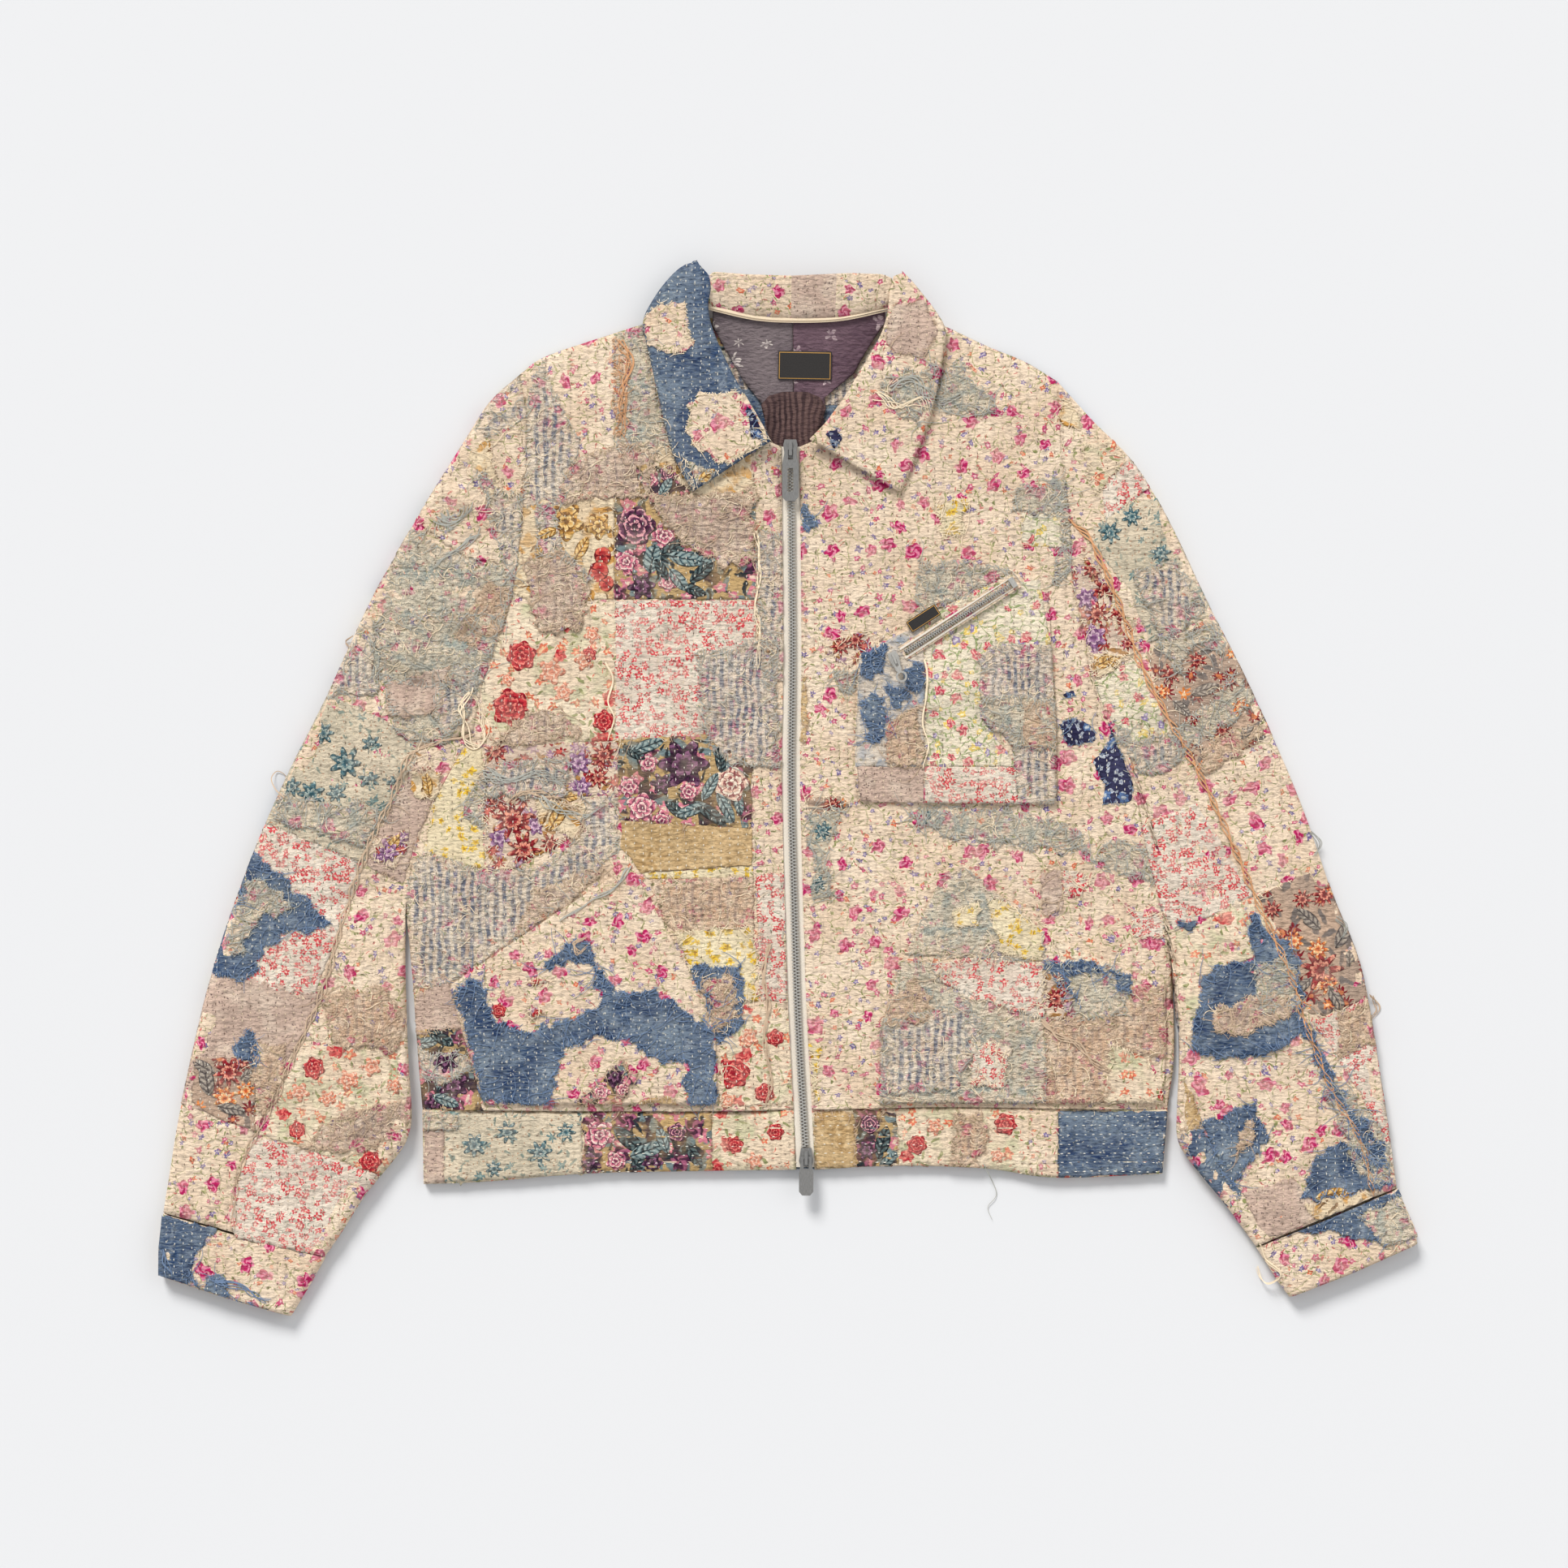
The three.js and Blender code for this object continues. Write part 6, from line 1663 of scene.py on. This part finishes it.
# loose yarns and cords: thread, half thickness, strands, spread, then the line as x, y, x, y
yarns = [
    ("threadCream", 0.55, 4, 3.2, -244, 76, -250, 60, -247, 42, -238, 32, -232, 44, -236, 62, -243, 72),
    ("threadCream", 0.6, 3, 1.5, -139, 97, -135, 84, -137, 68, -134, 54, -137, 38),
    ("threadTaupe", 0.6, 3, 1.8, -14, -118, -19, -140, -15, -165, -18, -192, -13, -218, -16, -242),
    ("threadCream", 0.8, 2, 1.2, 103, 98, 106, 78, 102, 56, 106, 34, 103, 16),
    ("threadGrey", 0.5, 5, 2.4, -122, -60, -134, -76, -149, -84, -160, -92, -174, -99),
    ("threadTaupe", 0.5, 4, 2.2, -156, -114, -164, -118, -160, -125, -154, -120),
    ("threadTaupe", 0.6, 4, 2.0, 193, -176, 206, -188, 222, -196, 234, -208, 245, -216),
    ("threadGrey", 0.4, 1, 0.4, 149, -286, 155, -298, 159, -311, 153, -320, 156, -330),
    ("threadTaupe", 0.35, 2, 1.6, -334, 118, -339, 113, -334, 106, -330, 100),
    ("threadTaupe", 0.5, 1, 0.6, -384, -6, -392, 0, -396, 8, -392, 14, -386, 12, -382, 6),
    ("threadGrey", 0.35, 4, 2.4, 398, -34, 406, -42, 402, -50),
    ("threadGrey", 0.35, 4, 2.4, 418, -98, 425, -106, 421, -114),
    ("threadTaupe", 0.4, 4, 2.6, 446, -158, 452, -168, 446, -176),
    ("threadCream", 0.5, 3, 2.2, 358, -348, 366, -360, 374, -372, 366, -378, 358, -366),
    ("threadGrey", 0.4, 9, 6.0, -246, 214, -256, 206, -266, 208, -262, 198, -252, 202),
    ("threadGrey", 0.4, 7, 5.0, -236, 196, -248, 186, -260, 180, -268, 170),
    ("cordOrange", 0.45, 5, 4.0, -128, 342, -122, 322, -128, 300, -124, 280, -130, 268),
    ("threadGrey", 0.45, 6, 4.0, 80, 306, 94, 312, 106, 300, 118, 296, 130, 300),
    ("threadCream", 0.45, 5, 4.0, 66, 300, 84, 292, 100, 296, 112, 286),
    ("threadGrey", 0.45, 5, 3.6, -192, -6, -176, -16, -158, -22, -142, -12),
    ("threadGrey", 0.45, 6, 3.6, -232, 14, -214, 6, -192, 12, -172, 4),
    ("threadBlue", 0.45, 5, 3.0, -438, -374, -424, -378, -410, -384, -396, -390),
    ("threadBlue", 0.45, 4, 3.0, -478, -352, -476, -362, -472, -372),
    ("threadCream", 0.5, 3, 1.8, -25, 196, -22, 168, -25, 142, -22, 116, -24, 92),
    ("threadTaupe", 0.5, 4, 2.6, -212, -10, -202, -2, -184, -4, -166, -12, -156, -26, -166, -42),
]


def looseYarns():
    luck = random.Random(41)
    tones = {}
    for thread, half, strands, spread, *flat in yarns:
        line = list(zip(flat[::2], flat[1::2]))
        for strand in range(strands):
            phase, aside = luck.uniform(0, 6), luck.uniform(-spread, spread)
            path = []
            for k, p in enumerate(smoothLine(line, 1.6)):
                spot = p + Vector((math.sin(k * 0.33 + phase), math.cos(k * 0.27 + phase))) * spread * 0.6
                spot += Vector((aside * 0.5, aside * 0.35))
                hit = topAt(spot.x, spot.y)
                if hit:
                    high = hit[0].z + half
                else:
                    high = max(path[-1].z - 1.1, half) if path else 4
                path.append(Vector((spot.x, spot.y, high + 0.5 * abs(math.sin(k * 0.4 + phase)))))
            tones.setdefault((thread, half), []).append(path)
    for (thread, half), paths in tones.items():
        threadsMesh("yarns_%s_%d" % (thread, round(half * 100)), paths, half, thread)


looseYarns()
print("loose yarns laid")

zipWorks = dict(pitch=2.5, tooth=(3.5, 1.15, 1.9), chestPitch=2.0, chestTooth=(2.6, 0.95, 1.3), round=0.28)


def teethAlong(name, node, line, pitch, tooth):
    low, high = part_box(node)
    level = (low.z + high.z) / 2 / mm
    bm = bmesh.new()
    bmesh.ops.create_cube(bm, size=1)
    bmesh.ops.scale(bm, vec=tooth, verts=bm.verts)
    bmesh.ops.bevel(bm, geom=bm.edges[:], offset=zipWorks["round"], segments=1, profile=0.5,
        affect="EDGES", material=-1)
    shape = [v.co.copy() for v in bm.verts]
    faces = [[v.index for v in f.verts] for f in bm.faces]
    bm.free()
    places, allFaces = [], []
    spots = respace(line, pitch / 2)
    for k, spot in enumerate(spots[1:-1]):
        along = (spots[k + 2] - spots[k]).normalized()
        aside = Vector((along.y, -along.x)) * (1 if k % 2 else -1)
        start = len(places)
        for p in shape:
            q = spot + aside * (p.x + tooth[0] * 0.36) + along * p.y * (1 if k % 2 else -1)
            places.append((q.x, q.y, level + p.z + 0.7))
        allFaces += [[start + i for i in f] for f in faces]
    piece = joinedShapes(name, places, allFaces, "zipSteel")
    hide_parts(node)
    # a dark line along the teeth: painted shade in the gaps between the teeth
    threadsMesh(name + "_shade_core", [[Vector((p.x, p.y, level)) for p in respace(line, 3)]], tooth[0] * 0.55,
        "zipShadeCore")


teethAlong("zip_teeth", "zip_chain", smoothLine([(12.8, -274)] + zipLine[:-1] + [(1.6, 254)], 1.0),
    zipWorks["pitch"],
           zipWorks["tooth"])
chestMiddle, chestTurn = Vector((129, 130.5)), math.radians(32.8)
chestAlong = Vector((math.cos(chestTurn), math.sin(chestTurn)))
chestAside = Vector((-math.sin(chestTurn), math.cos(chestTurn)))
teethAlong("chest_zip_teeth", "chest_zip_chain", respace([chestMiddle - chestAlong * 48, chestMiddle
    + chestAlong * 48], 1.0),
           zipWorks["chestPitch"], zipWorks["chestTooth"])


def labelPiece(name, node, middle, size, turn, fabric, border):
    low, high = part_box(node)
    bm = bmesh.new()
    bmesh.ops.create_cube(bm, size=1)
    bmesh.ops.scale(bm, vec=(*size, (high.z - low.z) / mm), verts=bm.verts)
    top = [f for f in bm.faces if f.normal.z > 0.9]
    bmesh.ops.inset_region(bm, faces=top, thickness=border, depth=0)
    ring = bmesh.ops.inset_region(bm, faces=top, thickness=0.7, depth=0.12)["faces"]
    for f in ring:
        f.material_index = 1
    bmesh.ops.bevel(bm, geom=[e for e in bm.edges if abs(e.verts[0].co.z - e.verts[1].co.z) > 0.3],
        offset=0.8,
                    segments=3, profile=0.5, affect="EDGES", material=-1)
    cos, sin = math.cos(turn), math.sin(turn)
    for v in bm.verts:
        x, y = v.co.x, v.co.y
        v.co = (middle.x + x * cos - y * sin, middle.y + x * sin + y * cos, v.co.z + (low.z + high.z) / 2
            / mm + 0.4)
    piece = addPiece(name, bm, [fabric, "labelGold"])
    for f in piece.data.polygons:
        f.use_smooth = False
    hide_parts(node)


labelPiece("neck_label_woven", "neck_label", Vector((12.5, 324)), (41, 22), math.radians(-1),
    "labelBlack", 1.2)
labelPiece("chest_tag_woven", "chest_tag", chestMiddle - chestAlong * 22 + chestAside * 14, (26, 9.5),
    chestTurn,
           "labelBlack", 0.8)

metalNodes = ["top_slider", "top_pull", "bottom_slider", "bottom_pull", "chest_zip_end", "chest_slider",
    "chest_pull"]
for node in metalNodes:
    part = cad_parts[node]
    part.data.materials.clear()
    part.data.materials.append(materials["zipSteel" if node.startswith("chest") else "pullSteel"])
for node, fabric in (("zip_tape_right", "tapeWhite"), ("zip_tape_left", "tapeWhite"),
        ("chest_zip_tape", "roseCalico")):
    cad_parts[node].data.materials.clear()
    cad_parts[node].data.materials.append(materials[fabric])
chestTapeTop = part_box("chest_zip_tape")[1].z / mm
chestEdges = [[(chestMiddle + chestAlong * along + chestAside * aside).to_3d()
    + Vector((0, 0, chestTapeTop + 0.2))
               for along in range(-50, 51, 5)] for aside in (-3.9, 3.9)]
threadsMesh("chest_zip_piping", chestEdges, 0.9, "tapeWhite")

# piping where the collar meets the lining
pipingLine = smoothLine([(-61, 369), (-57, 368), (-26, 361), (3, 359), (39, 360), (70, 366), (77, 368)], 2.5)
threadsMesh("neck_piping", [[Vector((p.x, p.y, 9.6)) for p in pipingLine],
                            [Vector((p.x, p.y - 1.5, 8.6)) for p in pipingLine]], 1.25, "pipingCream")


def flatArea(loop):
    return abs(sum(a.x * b.y - b.x * a.y for a, b in zip(loop, loop[1:] + loop[:1]))) / 2


def spans(loop):
    xs, ys = [p.x for p in loop], [p.y for p in loop]
    return max(xs) - min(xs), max(ys) - min(ys)


# the cut of each cloth: width, length and area, turned-in edges left out
def declare(node, width, length, area):
    print("sheet", node, round(width), round(length), round(area))


simple = [
    ("back", "back", []),
    ("hem_back", "hemBack", []),
    ("front_right", "frontRight", ["back"]),
    ("front_left", "frontLeft", ["back"]),
    ("hem_front_right", "hemRight", ["hem_back"]),
    ("hem_front_left", "hemLeft", ["hem_back"]),
    ("pocket_right", "pocketRight", ["front_right"]),
    ("pocket_left", "pocketLeft", ["front_left"]),
    ("chest_pocket", "chestPocket", ["front_left"]),
    ("lining_right", "liningRight", ["back"]),
    ("lining_left", "liningLeft", ["back"]),
    ("lining_rib", "liningRib", ["lining_right", "lining_left"]),
]
for node, panel, restsOn in simple:
    wide, tall = spans(outlines[panel])
    declare(node, wide, tall, flatArea(outlines[panel]))


for node, foldLine, seamLine, _, _, panel in sleeves:
    loop = outlineOf(smoothLine(foldLine), back(seamLine))
    # laid straight along its seam, and opened out from the fold
    along = (Vector(seamLine[-1]) - Vector(seamLine[0])).normalized()
    across = Vector((-along.y, along.x))
    wide, tall = spans([Vector((p.dot(across), p.dot(along))) for p in loop])
    declare(node, 2 * wide, tall, 2 * flatArea(loop))
for side in ("right", "left"):
    outer, inner = cuffSides[side]
    across = (Vector(outer[0]) - Vector(inner[0])).length
    deep = (Vector(outer[0]) - Vector(outer[-1])).length
    declare("cuff_" + side, across * 2 + 24, deep + 1, (across * 2 + 20) * deep)
    loop = outlines["collar" + side.capitalize()]
    wide, tall = spans(loop)
    declare("collar_" + side, wide + 24, tall, flatArea(loop) + 14 * tall)
declare("collar_back", 150, 42, 146 * 40)

print("sizes written")
